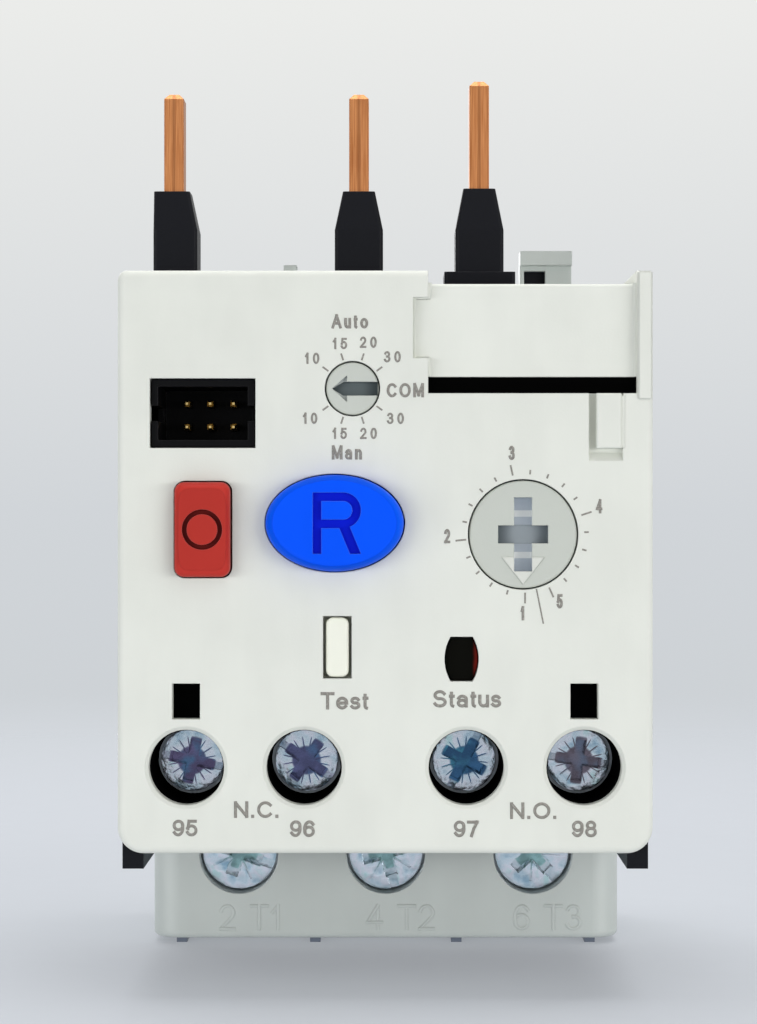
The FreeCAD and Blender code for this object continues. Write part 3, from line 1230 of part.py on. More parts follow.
def contact_carrier():
    """Plastic carrier that lifts the two bridges, sliding between the guides of the housing."""
    front, back = TRIP_Y - CARRIER_DEPTH / 2, TRIP_Y + CARRIER_DEPTH / 2
    reach = (SCREW_OUTER + SCREW_INNER) / 2 + BRIDGE_DEPTH
    body = box(-CARRIER_HALF, CARRIER_HALF, front, CAVITY_BACK - WALL_GAP, CARRIER_BOTTOM, CARRIER_TOP)
    nc_low = NC_BRIDGE_BOTTOM + BRIDGE_THICKNESS
    no_high = NO_BRIDGE_TOP - BRIDGE_THICKNESS
    nc_arm = box(-reach, -CARRIER_HALF, front, back, nc_low, nc_low + ARM_THICKNESS)
    no_arm = box(CARRIER_HALF, reach, front, back, no_high - ARM_THICKNESS, no_high)
    return joined([body, nc_arm, no_arm])


def contact_bridge(side, low, tip_low):
    """Moving bridge between two fixed contacts, with a silver tip at each end."""
    end = TIP_RADIUS + BRIDGE_END
    half = BRIDGE_DEPTH / 2
    solid = across(side, SCREW_INNER - end, SCREW_OUTER + end, TRIP_Y - half, TRIP_Y + half,
                   low, low + BRIDGE_THICKNESS)
    tips = [post(side * x, TRIP_Y, TIP_RADIUS, tip_low, tip_low + TIP_HEIGHT)
            for x in (SCREW_INNER, SCREW_OUTER)]
    return joined([solid] + tips)


def build_nodes():
    """Every piece of the relay, by its name."""
    nodes = {
        "front_cover": front_cover(),
        "option_cover": option_cover(),
        "terminal_block": terminal_block(),
        "mid_housing": mid_housing(),
        "terminal_base": terminal_base(),
        "back_plate": back_plate(),
        "reset_button": reset_button(),
        "reset_spring": button_spring(RESET_X, RESET_Z, RESET_KEY),
        "stop_button": stop_button(),
        "stop_spring": button_spring(STOP_X, STOP_Z, STOP_KEY),
        "test_plunger": test_plunger(),
        "test_spring": button_spring(TEST_X, TEST_KEY_Z, TEST_KEY),
        "mode_dial": mode_dial(),
        "mode_switch": rotary_case(MODE_X, MODE_Z, MODE_CASE),
        "current_dial": current_dial(),
        "current_trimmer": rotary_case(DIAL_X, DIAL_Z, TRIMMER_CASE),
        "status_lens": status_lens(),
        "header_shroud": header_shroud(),
        "header_pins": header_pins(),
        "control_board": control_board(),
        "board_chips": board_chips(),
        "solenoid_yoke": solenoid_yoke(),
        "solenoid_coil": solenoid_coil(),
        "solenoid_plunger": solenoid_plunger(),
        "contact_carrier": contact_carrier(),
        "nc_bridge": contact_bridge(-1, NC_BRIDGE_BOTTOM, NC_BRIDGE_BOTTOM - TIP_HEIGHT),
        "no_bridge": contact_bridge(1, NO_BRIDGE_TOP - BRIDGE_THICKNESS, NO_BRIDGE_TOP),
    }
    for number in SCREW_X:
        nodes[f"contact_strip_{number}"] = contact_strip(number)
        nodes[f"control_clamp_{number}"] = control_clamp(number)
        nodes[f"control_screw_{number}"] = control_screw(number)
    for index in range(len(LOAD_X)):
        place = index + 1
        nodes[f"line_stab_{place}"] = line_stab(index)
        nodes[f"stab_sleeve_{place}"] = stab_sleeve(index)
        nodes[f"load_bar_{place}"] = load_bar(index)
        nodes[f"load_clamp_{place}"] = load_clamp(index)
        nodes[f"load_screw_{place}"] = load_screw(index)
        nodes[f"ct_core_{place}"] = ct_core(index)
        nodes[f"ct_coil_{place}"] = ct_coil(index)
    return nodes


os.makedirs("parts", exist_ok=True)
for name, shape in build_nodes().items():
    shape.exportStep(f"parts/{name}.step")
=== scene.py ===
"""Looks of a solid-state overload relay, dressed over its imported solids.

The frame is the part's own, in metres: +Z up, the operating face looks along -Y.
Sizes and places in this file are in millimetres, and the studio's are in metres.
"""
import logging
import math
from dataclasses import dataclass, replace
from enum import Enum
from typing import Any, Callable, Iterable, NamedTuple

import bmesh
import bpy
from bpy.types import ID, Material, Mesh, NodeSocket, NodeTree, Object, World
from mathutils import Matrix, Vector


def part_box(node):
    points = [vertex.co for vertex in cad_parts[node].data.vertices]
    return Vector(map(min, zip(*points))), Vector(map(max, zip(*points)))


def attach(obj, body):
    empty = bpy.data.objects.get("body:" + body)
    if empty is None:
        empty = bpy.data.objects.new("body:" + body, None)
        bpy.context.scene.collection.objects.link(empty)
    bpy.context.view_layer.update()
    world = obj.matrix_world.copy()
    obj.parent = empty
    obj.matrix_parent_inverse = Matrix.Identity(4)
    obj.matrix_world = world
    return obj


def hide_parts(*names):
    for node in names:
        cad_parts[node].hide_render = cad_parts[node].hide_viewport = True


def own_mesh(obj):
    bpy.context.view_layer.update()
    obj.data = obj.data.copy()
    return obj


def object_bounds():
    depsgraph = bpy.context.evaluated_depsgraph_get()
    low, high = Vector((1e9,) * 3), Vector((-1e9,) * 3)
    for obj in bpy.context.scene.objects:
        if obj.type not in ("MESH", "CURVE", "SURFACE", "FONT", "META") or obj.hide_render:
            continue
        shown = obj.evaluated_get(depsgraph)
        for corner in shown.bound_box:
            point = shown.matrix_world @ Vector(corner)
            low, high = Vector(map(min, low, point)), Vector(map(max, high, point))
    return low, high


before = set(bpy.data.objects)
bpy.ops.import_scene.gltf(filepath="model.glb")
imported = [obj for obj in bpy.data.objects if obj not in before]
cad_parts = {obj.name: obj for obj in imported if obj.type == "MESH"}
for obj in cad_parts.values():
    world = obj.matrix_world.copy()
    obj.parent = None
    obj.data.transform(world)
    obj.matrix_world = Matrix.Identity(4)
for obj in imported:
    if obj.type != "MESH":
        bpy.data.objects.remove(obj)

CAD_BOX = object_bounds()
LOG = logging.getLogger("overload_relay")
MM = 0.001
HOUSING = "housing"
POLES = (1, 2, 3)
CONTACTS = (95, 96, 97, 98)
Triple = tuple[float, float, float]
Point = tuple[float, float]
Word = tuple[str, float, float]


class Axis(Enum):
    """Direction in the part's frame."""

    ACROSS = "X"
    ALONG = "Y"
    UP = "Z"


def linear(red: int, green: int, blue: int) -> Triple:
    """Linear colour of an 8-bit screen colour.

    Args:
        red: Red from 0 to 255.
        green: Green from 0 to 255.
        blue: Blue from 0 to 255.

    Returns:
        The colour as three linear values.
    """
    shares = [value / 255 for value in (red, green, blue)]
    return tuple(s / 12.92 if s <= 0.04045 else ((s + 0.055) / 1.055) ** 2.4 for s in shares)


def shade(colour: Triple, share: float) -> Triple:
    """Colour made darker or lighter by a share."""
    return tuple(min(1.0, c * share) for c in colour)


class NodeBox:
    """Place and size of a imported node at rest, to a thousandth."""

    def __init__(self, node: str) -> None:
        """Measure the node of that name."""
        low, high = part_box(node)
        self.low = tuple(round(a / MM, 3) for a in low)
        self.high = tuple(round(b / MM, 3) for b in high)
        self.middle = tuple(round((a + b) / 2 / MM, 3) for a, b in zip(low, high))
        self.half = tuple(round((b - a) / 2 / MM, 3) for a, b in zip(low, high))


def arithmetic(operation: str, swapped: bool = False) -> Callable[..., "Wire"]:
    """Method of a wire for one operator.

    Args:
        operation: Operation of the Math node.
        swapped: Whether the wire stands on the right.

    Returns:
        The method.
    """
    def method(wire: "Wire", other: "Wire | float" = 0.0) -> "Wire":
        """Math node of the wire and another value."""
        return wire.tree.maths(operation, *((other, wire) if swapped else (wire, other)))

    return method


class Wire:
    """A node's output that takes part in Python arithmetic, where a comparison gives one or zero."""

    __add__ = arithmetic("ADD")
    __radd__ = arithmetic("ADD", True)
    __sub__ = arithmetic("SUBTRACT")
    __rsub__ = arithmetic("SUBTRACT", True)
    __mul__ = arithmetic("MULTIPLY")
    __rmul__ = arithmetic("MULTIPLY", True)
    __truediv__ = arithmetic("DIVIDE")
    __gt__ = arithmetic("GREATER_THAN")
    __lt__ = arithmetic("LESS_THAN")
    __abs__ = arithmetic("ABSOLUTE")

    def __init__(self, tree: "Tree", socket: NodeSocket) -> None:
        """Keep the output and the tree it belongs to."""
        self.tree = tree
        self.socket = socket


class Tree:
    """A node tree that is built in code."""

    def __init__(self, tree: NodeTree, end: str) -> None:
        """Empty a tree, apart from an end of that node type."""
        self.tree = tree
        self.tree.nodes.clear()
        self.end = self.tree.nodes.new(end)

    def node(self, kind: str, sockets: dict[str | int, Any] | None = None, output: str | int = 0,
             **settings: Any) -> Wire:
        """Add one node.

        Args:
            kind: Node type.
            sockets: Values or wires for the inputs, by name or index.
            output: Which output to hand back.
            settings: Attributes of the node, which are set first.

        Returns:
            The chosen output.
        """
        made = self.tree.nodes.new(kind)
        for key, value in settings.items():
            setattr(made, key, value)
        for key, value in (sockets or {}).items():
            socket = made.inputs[key]
            if isinstance(value, Wire):
                self.tree.links.new(value.socket, socket)
            else:
                socket.default_value = (*value[:3], 1.0) if socket.type == "RGBA" else value
        return Wire(self, made.outputs[output])

    def maths(self, operation: str, first: Wire | float, second: Wire | float = 0.0) -> Wire:
        """Math node of one or two values."""
        return self.node("ShaderNodeMath", {0: first, 1: second}, operation=operation)


class Shop(Tree):
    """Builds the node tree of one material or world."""

    def __init__(self, owner: Material | World) -> None:
        """Start on the owner's tree."""
        self.owner = owner
        owner.use_nodes = True
        is_world = isinstance(owner, World)
        super().__init__(owner.node_tree, "ShaderNodeOutputWorld" if is_world else "ShaderNodeOutputMaterial")

    def smooth(self, value: Wire, low: float, high: float) -> Wire:
        """Value eased from zero at low to one at high."""
        return self.node("ShaderNodeMapRange", {"Value": value, "From Min": low, "From Max": high},
                         interpolation_type="SMOOTHSTEP")

    def mix(self, share: Wire | float, first: Wire | Triple, second: Wire | Triple) -> Wire:
        """Colour between two colours."""
        return self.node("ShaderNodeMix", {0: share, 6: first, 7: second}, 2, data_type="RGBA")

    def ramp(self, value: Wire, *stops: tuple[float, Triple]) -> Wire:
        """Colour that runs through stops.

        Args:
            value: Where on the ramp.
            stops: Position and colour of each stop, first to last.

        Returns:
            The colour.
        """
        made = self.node("ShaderNodeValToRGB", {"Fac": value})
        elements = made.socket.node.color_ramp.elements
        while len(elements) < len(stops):
            elements.new(0.5)
        for element, (position, colour) in zip(elements, stops):
            element.position = position
            element.color = (*colour, 1.0)
        return made

    def place(self, centre: Triple = (0.0, 0.0, 0.0), stretch: Triple = (1.0, 1.0, 1.0)) -> Wire:
        """Object coordinates in millimetres.

        Args:
            centre: Where they are zero.
            stretch: Factor along each axis.

        Returns:
            The coordinates.
        """
        at = self.node("ShaderNodeTexCoord", output="Object")
        offset = tuple(-c * s for c, s in zip(centre, stretch))
        scale = tuple(s / MM for s in stretch)
        return self.node("ShaderNodeMapping", {"Vector": at, "Location": offset, "Scale": scale})

    def axis(self, place: Wire, direction: Axis) -> Wire:
        """One axis of a vector."""
        return self.node("ShaderNodeSeparateXYZ", {"Vector": place}, direction.value)

    def noise(self, place: Wire, size: float, detail: float = 2.0, roughness: float = 0.5) -> Wire:
        """Noise whose lumps are about as large as size."""
        return self.node("ShaderNodeTexNoise", {"Vector": place, "Scale": 1 / size, "Detail": detail,
                                                "Roughness": roughness}, "Fac")

    def rounded(self, radius: float) -> Wire:
        """Normal that runs round the edges of a piece with that radius."""
        return self.node("ShaderNodeBevel", {"Radius": radius * MM}, samples=4)

    def rim(self, rounded: Wire) -> Wire:
        """Mask that is one along the edges that the rounded normal runs round."""
        plain = self.node("ShaderNodeNewGeometry", output="Normal")
        along = self.node("ShaderNodeVectorMath", {0: rounded, 1: plain}, "Value", operation="DOT_PRODUCT")
        return self.smooth(1 - along, 0.02, 0.25)

    def bump(self, height: Wire, depth: float, strength: float, normal: Wire | None = None) -> Wire:
        """Normal of a bumpy surface.

        Args:
            height: Height from zero to one.
            depth: Height of one.
            strength: Share of the bump that shows.
            normal: Normal that the bumps stand on, if it isn't the surface's own.

        Returns:
            The normal.
        """
        sockets = {"Height": height, "Distance": depth * MM, "Strength": strength}
        if normal is not None:
            sockets["Normal"] = normal
        return self.node("ShaderNodeBump", sockets)

    def close(self, shader: Wire) -> Any:
        """Use a shader for the whole surface, and hand back the material or world."""
        self.tree.links.new(shader.socket, self.end.inputs["Surface"])
        return self.owner


@dataclass(frozen=True)
class Finish:
    """A named look that can be made into a material."""

    name: str

    def material(self) -> Material:
        """Material of this finish."""
        shop = Shop(bpy.data.materials.new(self.name))
        return shop.close(shop.node("ShaderNodeBsdfPrincipled", self.skin(shop)))

    def skin(self, shop: Shop) -> dict[str, Any]:
        """Values and wires of the surface, by socket."""
        raise NotImplementedError


@dataclass(frozen=True)
class Recess:
    """Place on the front of a node where everything behind a level is painted: mostly painted shade, in a few
    uses painted light.

    It has half sizes, how far its level is sunk behind the front, colours of its middle and of its left and
    right ends, the depth over which they come in, and how far its middle is above the node's.
    """

    node: str
    across: float
    tall: float
    sunk: float
    middle: Triple
    ends: Triple | None = None
    fade: float = 0.06
    rise: float = 0.0

    def tint(self, shop: Shop, body: Wire) -> Wire:
        """Colour of a body with the painted colour of this recess in it.

        Args:
            shop: Material that the colour belongs to.
            body: Colour outside the recess.

        Returns:
            The colour with the recess.
        """
        box = NodeBox(self.node)
        place = shop.place((box.middle[0], box.low[1] + self.sunk, box.middle[2] + self.rise))
        side, up = abs(shop.axis(place, Axis.ACROSS)), abs(shop.axis(place, Axis.UP))
        inside = (1 - (side > self.across)) * (1 - (up > self.tall))
        deep = shop.smooth(shop.axis(place, Axis.ALONG), 0.0, self.fade)
        far = shop.smooth(side, 0.3 * self.across, self.across)
        return shop.mix(inside * deep, body, shop.mix(far, self.middle, self.ends or self.middle))


@dataclass(frozen=True)
class Slope:
    """Sloped rim of a button's front: half sizes and depth, where it starts as a share, and how much lighter
    its painted highlight is.

    A power of two makes the outline an ellipse, and a higher power makes it a rounded rectangle.
    """

    node: str
    across: float
    tall: float
    depth: float
    start: float
    power: float = 2.0
    stain_and_highlight: float = 1.25

    def fall(self, shop: Shop) -> Wire:
        """How far the rim falls off.

        Args:
            shop: Material that the rim belongs to.

        Returns:
            Zero up to the start of the rim, and one at the outline.
        """
        x, _, z = NodeBox(self.node).middle
        place = shop.place((x, 0.0, z), (1 / self.across, 1.0, 1 / self.tall))
        side = shop.maths("POWER", abs(shop.axis(place, Axis.ACROSS)), self.power)
        up = shop.maths("POWER", abs(shop.axis(place, Axis.UP)), self.power)
        away = shop.maths("POWER", side + up, 1 / self.power)
        return shop.maths("MAXIMUM", away - self.start, 0.0) / (1 - self.start)


@dataclass(frozen=True)
class MouldedPlastic(Finish):
    """Injection-moulded plastic with a spark-eroded grain, and smoother edges that carry a painted highlight.
    """

    colour: Triple
    roughness: float = 0.5
    gloss: float = 0.3
    grain: float = 0.2
    depth: float = 0.016
    cloud: float = 7.0
    streak: float = 2.5
    mottle: float = 0.03
    edge: float = 0.14
    edge_highlight: float = 0.12
    recesses: tuple[Recess, ...] = ()
    slopes: tuple[Slope, ...] = ()

    def skin(self, shop: Shop) -> dict[str, Any]:
        """Values and wires of the surface, by socket."""
        place = shop.place()
        grain = shop.noise(place, self.grain, 3.0, 0.6)
        cloud = shop.noise(place, self.cloud, 3.0)
        flow = shop.noise(shop.place(stretch=(1.0, 1.0, 0.25)), self.streak)
        normal = shop.rounded(self.edge)
        rim = shop.rim(normal)
        body = shop.mix(shop.smooth(cloud * 0.6 + flow * 0.4, 0.3, 0.7), shade(self.colour, 1 - self.mottle),
                        shade(self.colour, 1 + self.mottle))
        # Painted highlight: the colour is made lighter along the edges that the rounded normal runs round.
        colour = shop.mix(rim * 0.5, body, tuple(c + (1 - c) * self.edge_highlight for c in self.colour))
        for slope in self.slopes:
            fall = slope.fall(shop)
            # Painted highlight: the sloped rim is made lighter by the slope's share.
            colour = shop.mix(shop.smooth(fall, 0.0, 0.3), colour, shade(self.colour, slope.stain_and_highlight))
            normal = shop.bump(1 - fall, slope.depth, 1.0, normal)
        for recess in self.recesses:
            colour = recess.tint(shop, colour)
        return {"Base Color": colour, "Specular IOR Level": self.gloss,
                "Roughness": (self.roughness - 0.06) + 0.08 * flow + 0.05 * grain - 0.1 * rim,
                "Normal": shop.bump(grain, self.depth, 0.6, normal)}


@dataclass(frozen=True)
class PrintInk(Finish):
    """Pad-printed ink, a little uneven."""

    colour: Triple
    speckle: float = 0.18

    def skin(self, shop: Shop) -> dict[str, Any]:
        """Values and wires of the surface, by socket."""
        speckle = shop.noise(shop.place(), self.speckle)
        pale = tuple(min(1.0, c * 1.35 + 0.03) for c in self.colour)
        return {"Base Color": shop.mix(shop.smooth(speckle, 0.45, 0.75), self.colour, pale),
                "Roughness": 0.55 + 0.1 * speckle, "Specular IOR Level": 0.4}


@dataclass(frozen=True)
class DrawnCopper(Finish):
    """Copper stab drawn lengthwise, with a painted dark reflection along its middle, and darker towards its
    sides.
    """

    node: str
    half: float = 0.9
    streak: float = 0.1
    stain: float = 1.4

    def skin(self, shop: Shop) -> dict[str, Any]:
        """Values and wires of the surface, by socket."""
        middle = (NodeBox(self.node).low[0] + self.half, 0.0, 0.0)
        across = abs(shop.axis(shop.place(middle), Axis.ACROSS)) / self.half
        streaks = shop.noise(shop.place(stretch=(1.0, 1.0, 0.02)), self.streak, 3.0)
        stain = shop.noise(shop.place(stretch=(1.0, 1.0, 0.3)), self.stain, 3.0)
        # Painted reflection: a dark line along the middle of the stab; the stab is also darker towards its
        # sides.
        dark_centre_reflection = 1 - shop.smooth(across, 0.04, 0.26)
        rim = shop.smooth(across, 0.72, 0.98)
        base = shop.mix(shop.smooth(streaks, 0.25, 0.75), linear(168, 102, 56), linear(206, 142, 92))
        stain_and_highlight = shop.mix(shop.smooth(stain, 0.5, 0.8) * 0.45, base, linear(158, 92, 52))
        return {"Base Color": shop.mix(dark_centre_reflection * 0.45 + rim * 0.25, stain_and_highlight, linear(112, 64, 36)),
                "Metallic": 0.85, "Roughness": 0.34 + 0.18 * streaks,
                "Normal": shop.bump(streaks, 0.012, 0.4, shop.rounded(0.12))}


@dataclass(frozen=True)
class Tint:
    """Passivation hues of a screw head, darkened in places as painted shade over its drive recess: two hues,
    core and arms as shares of the head, and its share outside.
    """

    violet: Triple
    blue: Triple
    core: float
    arm: float
    outside: float


@dataclass(frozen=True)
class ZincPlate(Finish):
    """Bright zinc plating of one screw, with passivation hues and painted shade round its drive recess, and a
    thread behind it.
    """

    node: str
    tint: Tint
    turn: float
    head: float
    pitch: float
    sunk: float = 0.15
    lean: float = 30.0

    def skin(self, shop: Shop) -> dict[str, Any]:
        """Values and wires of the surface, by socket."""
        place, front = shop.place(), NodeBox(self.node).low[1]
        cloud, broad = shop.noise(place, 1.6, 3.0), shop.noise(place, 3.0, 1.0)
        fine = shop.noise(place, 0.12, 3.0)
        along = shop.axis(place, Axis.ALONG)
        bright = shop.ramp(cloud, (0.3, linear(150, 184, 206)), (0.44, linear(206, 224, 236)),
                           (0.56, linear(226, 230, 242)), (0.68, linear(196, 226, 230)))
        hue = shop.mix(shop.smooth(broad, 0.42, 0.58), self.tint.violet, self.tint.blue)
        # Passivation hues, darkened where the cloud is low as painted shade.
        passivation_and_shade = shop.mix(shop.smooth(cloud, 0.38, 0.62), shade(self.tint.violet, 0.65), hue)
        threaded = along > front + self.head
        # Painted shade: the star over the drive recess, and in part the sunk edge of the head, take the
        # darker hues.
        sunk = shop.smooth(along, front + self.sunk, front + 2 * self.sunk)
        tinted = shop.maths("MAXIMUM", self._star(shop), sunk * self.tint.outside) * (1 - threaded)
        wave = shop.maths("SINE", along * (2 * math.pi / self.pitch)) * 0.5 + 0.5
        height = fine * 0.006 + cloud * 0.9 + wave * threaded
        return {"Base Color": shop.mix(tinted, bright, passivation_and_shade), "Metallic": 0.85,
                "Roughness": 0.1 + 0.12 * fine, "Normal": shop.bump(height, 0.12, 0.8, self._facing(shop))}

    def _star(self, shop: Shop) -> Wire:
        """Mask of the passivation hues and painted shade: a core with four arms over the drive recess, and
        thin ribs between them.

        Args:
            shop: Material that the mask belongs to.

        Returns:
            One inside the star, and zero outside.
        """
        box = NodeBox(self.node)
        share = (1 / box.half[0], 1.0, 1 / box.half[0])
        place = shop.place(box.middle, share)
        across, up = shop.axis(place, Axis.ACROSS), shop.axis(place, Axis.UP)
        away = shop.maths("SQRT", across * across + up * up)
        angle = shop.maths("ARCTAN2", up, across) + math.radians(self.turn)
        arms = shop.smooth(shop.maths("COSINE", angle * 4), 0.0, 0.7)
        ribs = shop.smooth(shop.maths("COSINE", angle * 16), 0.75, 1.0)
        reach = shop.maths("MAXIMUM", arms, ribs) * self.tint.arm
        return 1 - shop.smooth(away - reach, self.tint.core - 0.04, self.tint.core + 0.04)

    def _facing(self, shop: Shop) -> Wire:
        """Normal of the edges, leaned towards the front as on a domed head."""
        lean = {0: shop.rounded(0.1), 1: (0.0, -self.lean, 0.0)}
        towards = shop.node("ShaderNodeVectorMath", lean, operation="ADD")
        return shop.node("ShaderNodeVectorMath", {0: towards}, operation="NORMALIZE")


@dataclass(frozen=True)
class StampedMetal(Finish):
    """Stamped or drawn metal with fine streaks."""

    colour: Triple
    roughness: float = 0.3
    streak: float = 0.12
    cloud: float = 1.5

    def skin(self, shop: Shop) -> dict[str, Any]:
        """Values and wires of the surface, by socket."""
        streaks = shop.noise(shop.place(stretch=(1.0, 0.08, 1.0)), self.streak, 3.0)
        cloud = shop.noise(shop.place(), self.cloud)
        return {"Base Color": shop.mix(shop.smooth(cloud, 0.35, 0.7), shade(self.colour, 0.78), self.colour),
                "Metallic": 1.0, "Roughness": (self.roughness - 0.06) + 0.16 * streaks,
                "Normal": shop.bump(streaks, 0.01, 0.4)}


@dataclass(frozen=True)
class Banded(Finish):
    """Surface made of fine bands, such as a winding or a stack of laminations."""

    colour: Triple
    gap: Triple
    direction: Axis
    pitch: float
    metallic: float
    roughness: float

    def skin(self, shop: Shop) -> dict[str, Any]:
        """Values and wires of the surface, by socket."""
        place = shop.place()
        wobble = shop.noise(place, 1.1)
        along = shop.axis(place, self.direction)
        wave = shop.maths("SINE", along * (2 * math.pi / self.pitch) + wobble * 0.9) * 0.5 + 0.5
        return {"Base Color": shop.mix(shop.smooth(wave, 0.05, 0.55), self.gap, self.colour),
                "Metallic": self.metallic, "Roughness": self.roughness + 0.1 * wobble,
                "Normal": shop.bump(wave, 0.06, 0.8)}


@dataclass(frozen=True)
class SolderMask(Finish):
    """Green board laminate with raised tracks under the mask."""

    def skin(self, shop: Shop) -> dict[str, Any]:
        """Values and wires of the surface, by socket."""
        turn = shop.node("ShaderNodeMapping", {"Vector": shop.place(), "Rotation": (math.pi / 2, 0.0, 0.0)})
        tracks = shop.node("ShaderNodeTexBrick", {
            "Vector": turn, "Color1": (1.0, 1.0, 1.0), "Color2": (0.6, 0.6, 0.6), "Mortar": (0.0, 0.0, 0.0),
            "Scale": 0.42, "Mortar Size": 0.035, "Brick Width": 1.7, "Row Height": 0.6},
            offset=0.37, squash=1.6, squash_frequency=3)
        ridge = 1 - shop.node("ShaderNodeSeparateColor", {"Color": tracks}, "Red")
        return {"Base Color": shop.mix(ridge * 0.7, linear(24, 92, 56), linear(46, 128, 74)),
                "Roughness": 0.3 + 0.12 * shop.noise(shop.place(), 2.0), "Coat Weight": 0.4,
                "Coat Roughness": 0.15, "Normal": shop.bump(ridge, 0.03, 0.5)}


@dataclass(frozen=True)
class SmokedLens(Finish):
    """Smoked window that shows its red light guide along one side."""

    node: str
    half: float = 1.44

    def skin(self, shop: Shop) -> dict[str, Any]:
        """Values and wires of the surface, by socket."""
        across = shop.axis(shop.place(NodeBox(self.node).middle), Axis.ACROSS) / self.half
        swirl = shop.noise(shop.place(), 0.9)
        red = shop.smooth(across + swirl * 0.2, 0.7, 0.95)
        return {"Base Color": shop.mix(red, (0.004, 0.004, 0.003), linear(112, 30, 24)),
                "Roughness": 0.3 + 0.1 * swirl, "Specular IOR Level": 0.02}


def new_object(name: str, data: ID) -> Object:
    """Put a new object into the scene.

    Args:
        name: Name of the object.
        data: Its mesh, light or camera.

    Returns:
        The object.
    """
    made = bpy.data.objects.new(name, data)
    bpy.context.scene.collection.objects.link(made)
    return made


def dress(piece: Object, finish: Material) -> None:
    """Give a piece one material on all its faces.

    Args:
        piece: The piece.
        finish: Its material.
    """
    if not piece.material_slots:
        piece.data.materials.append(finish)
    for slot in piece.material_slots:
        slot.material = finish


def dress_nodes(finish: Finish, *names: str) -> Material:
    """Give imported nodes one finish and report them.

    Args:
        finish: Finish of the nodes.
        names: Names of the nodes.

    Returns:
        The material made from the finish.
    """
    material = finish.material()
    for name in names:
        dress(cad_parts[name], material)
        LOG.info("node %s is finished in %s", name, finish.name)
    return material


def numbered(stem: str, numbers: Iterable[int]) -> list[str]:
    """Names of nodes that differ only in their number."""
    return ["%s_%d" % (stem, number) for number in numbers]


def carry(piece: Object, body: str) -> None:
    """Let a new piece ride on a body and report it.

    Args:
        piece: The piece.
        body: Name of the body.
    """
    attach(piece, body)
    LOG.info("piece %s rides on %s, %d faces", piece.name, body, len(piece.data.polygons))


class Path(NamedTuple):
    """Points of a line on a plane, whether its ends are joined, and how far it is above the plane."""

    points: tuple[Point, ...]
    closed: bool = False
    height: float = 0.0


def path_mesh(name: str, paths: Iterable[Path]) -> Mesh:
    """Make a mesh that has only edges.

    Args:
        name: Name of the mesh.
        paths: Lines that the edges follow, in the XY plane.

    Returns:
        The mesh.
    """
    points: list[Triple] = []
    edges: list[tuple[int, int]] = []
    for path in paths:
        first = len(points)
        points += [(x * MM, z * MM, path.height * MM) for x, z in path.points]
        edges += [(at, at + 1) for at in range(first, len(points) - 1)]
        if path.closed:
            edges.append((len(points) - 1, first))
    mesh = bpy.data.meshes.new(name)
    mesh.from_pydata(points, edges, [])
    return mesh


class NodeShape(Tree):
    """A geometry tree with named inputs and a plain mesh as its result."""

    def __init__(self, name: str) -> None:
        """Start an empty tree of that name."""
        super().__init__(bpy.data.node_groups.new(name, "GeometryNodeTree"), "NodeGroupOutput")
        self.tree.interface.new_socket("Geometry", in_out="OUTPUT", socket_type="NodeSocketGeometry")
        self.start = self.tree.nodes.new("NodeGroupInput")
        self.keys: dict[str, str] = {}

    def size(self, name: str, kind: str = "NodeSocketFloat") -> Wire:
        """Named input of the tree."""
        self.keys[name] = self.tree.interface.new_socket(name, in_out="INPUT", socket_type=kind).identifier
        return Wire(self, self.start.outputs[name])

    def vector(self, **axes: Wire) -> Wire:
        """Vector of values by axis."""
        return self.node("ShaderNodeCombineXYZ", axes)

    def close(self, shape: Wire) -> None:
        """End the tree in real geometry with its material.

        Args:
            shape: Geometry that the tree has made.
        """
        finish = self.size("Finish", "NodeSocketMaterial")
        real = self.node("GeometryNodeRealizeInstances", {"Geometry": shape})
        dressed = self.node("GeometryNodeSetMaterial", {"Geometry": real, "Material": finish})
        self.tree.links.new(dressed.socket, self.end.inputs[0])

    def build(self, name: str, sizes: dict[str, Any], move: Matrix,
              path: Mesh | None = None) -> Object:
        """Run the tree once.

        Args:
            name: Name of the new piece.
            sizes: Value of each input.
            move: Where the result goes.
            path: Edges that the tree follows, if it follows any.

        Returns:
            A plain mesh object at the origin, with its place in its mesh.
        """
        carrier = new_object(name + "_tree", path or bpy.data.meshes.new(name + "_tree"))
        modifier = carrier.modifiers.new(self.tree.name, "NODES")
        modifier.node_group = self.tree
        for key, value in sizes.items():
            modifier[self.keys[key]] = value
        bpy.context.view_layer.update()
        graph = bpy.context.evaluated_depsgraph_get()
        mesh = bpy.data.meshes.new_from_object(carrier.evaluated_get(graph), depsgraph=graph)
        bpy.data.objects.remove(carrier)
        mesh.transform(move)
        mesh.name = name
        return new_object(name, mesh)


class TickRing(NodeShape):
    """Scale marks on an arc, every few of them longer."""

    def __init__(self) -> None:
        """Build the tree."""
        super().__init__("tick_ring")
        count, radius = self.size("Count", "NodeSocketInt"), self.size("Radius")
        first, sweep = self.size("First"), self.size("Sweep")
        short, long = self.size("Short"), self.size("Long")
        every, wide, thick = self.size("Every", "NodeSocketInt"), self.size("Width"), self.size("Thickness")
        line = self.node("GeometryNodeMeshLine", {"Count": count})
        index = self.node("GeometryNodeInputIndex")
        angle = first + sweep * (index / (count - 1))
        major = self.maths("MODULO", index, every) < 0.5
        reach = short + (long - short) * major
        middle = radius + reach * 0.5
        spot = self.vector(X=middle * self.maths("COSINE", angle), Z=middle * self.maths("SINE", angle))
        self.close(self.node("GeometryNodeInstanceOnPoints", {
            "Points": self.node("GeometryNodeSetPosition", {"Geometry": line, "Position": spot}),
            "Instance": self.node("GeometryNodeMeshCube"),
            "Rotation": self.vector(Y=angle * -1),
            "Scale": self.vector(X=reach, Y=thick, Z=wide)}))


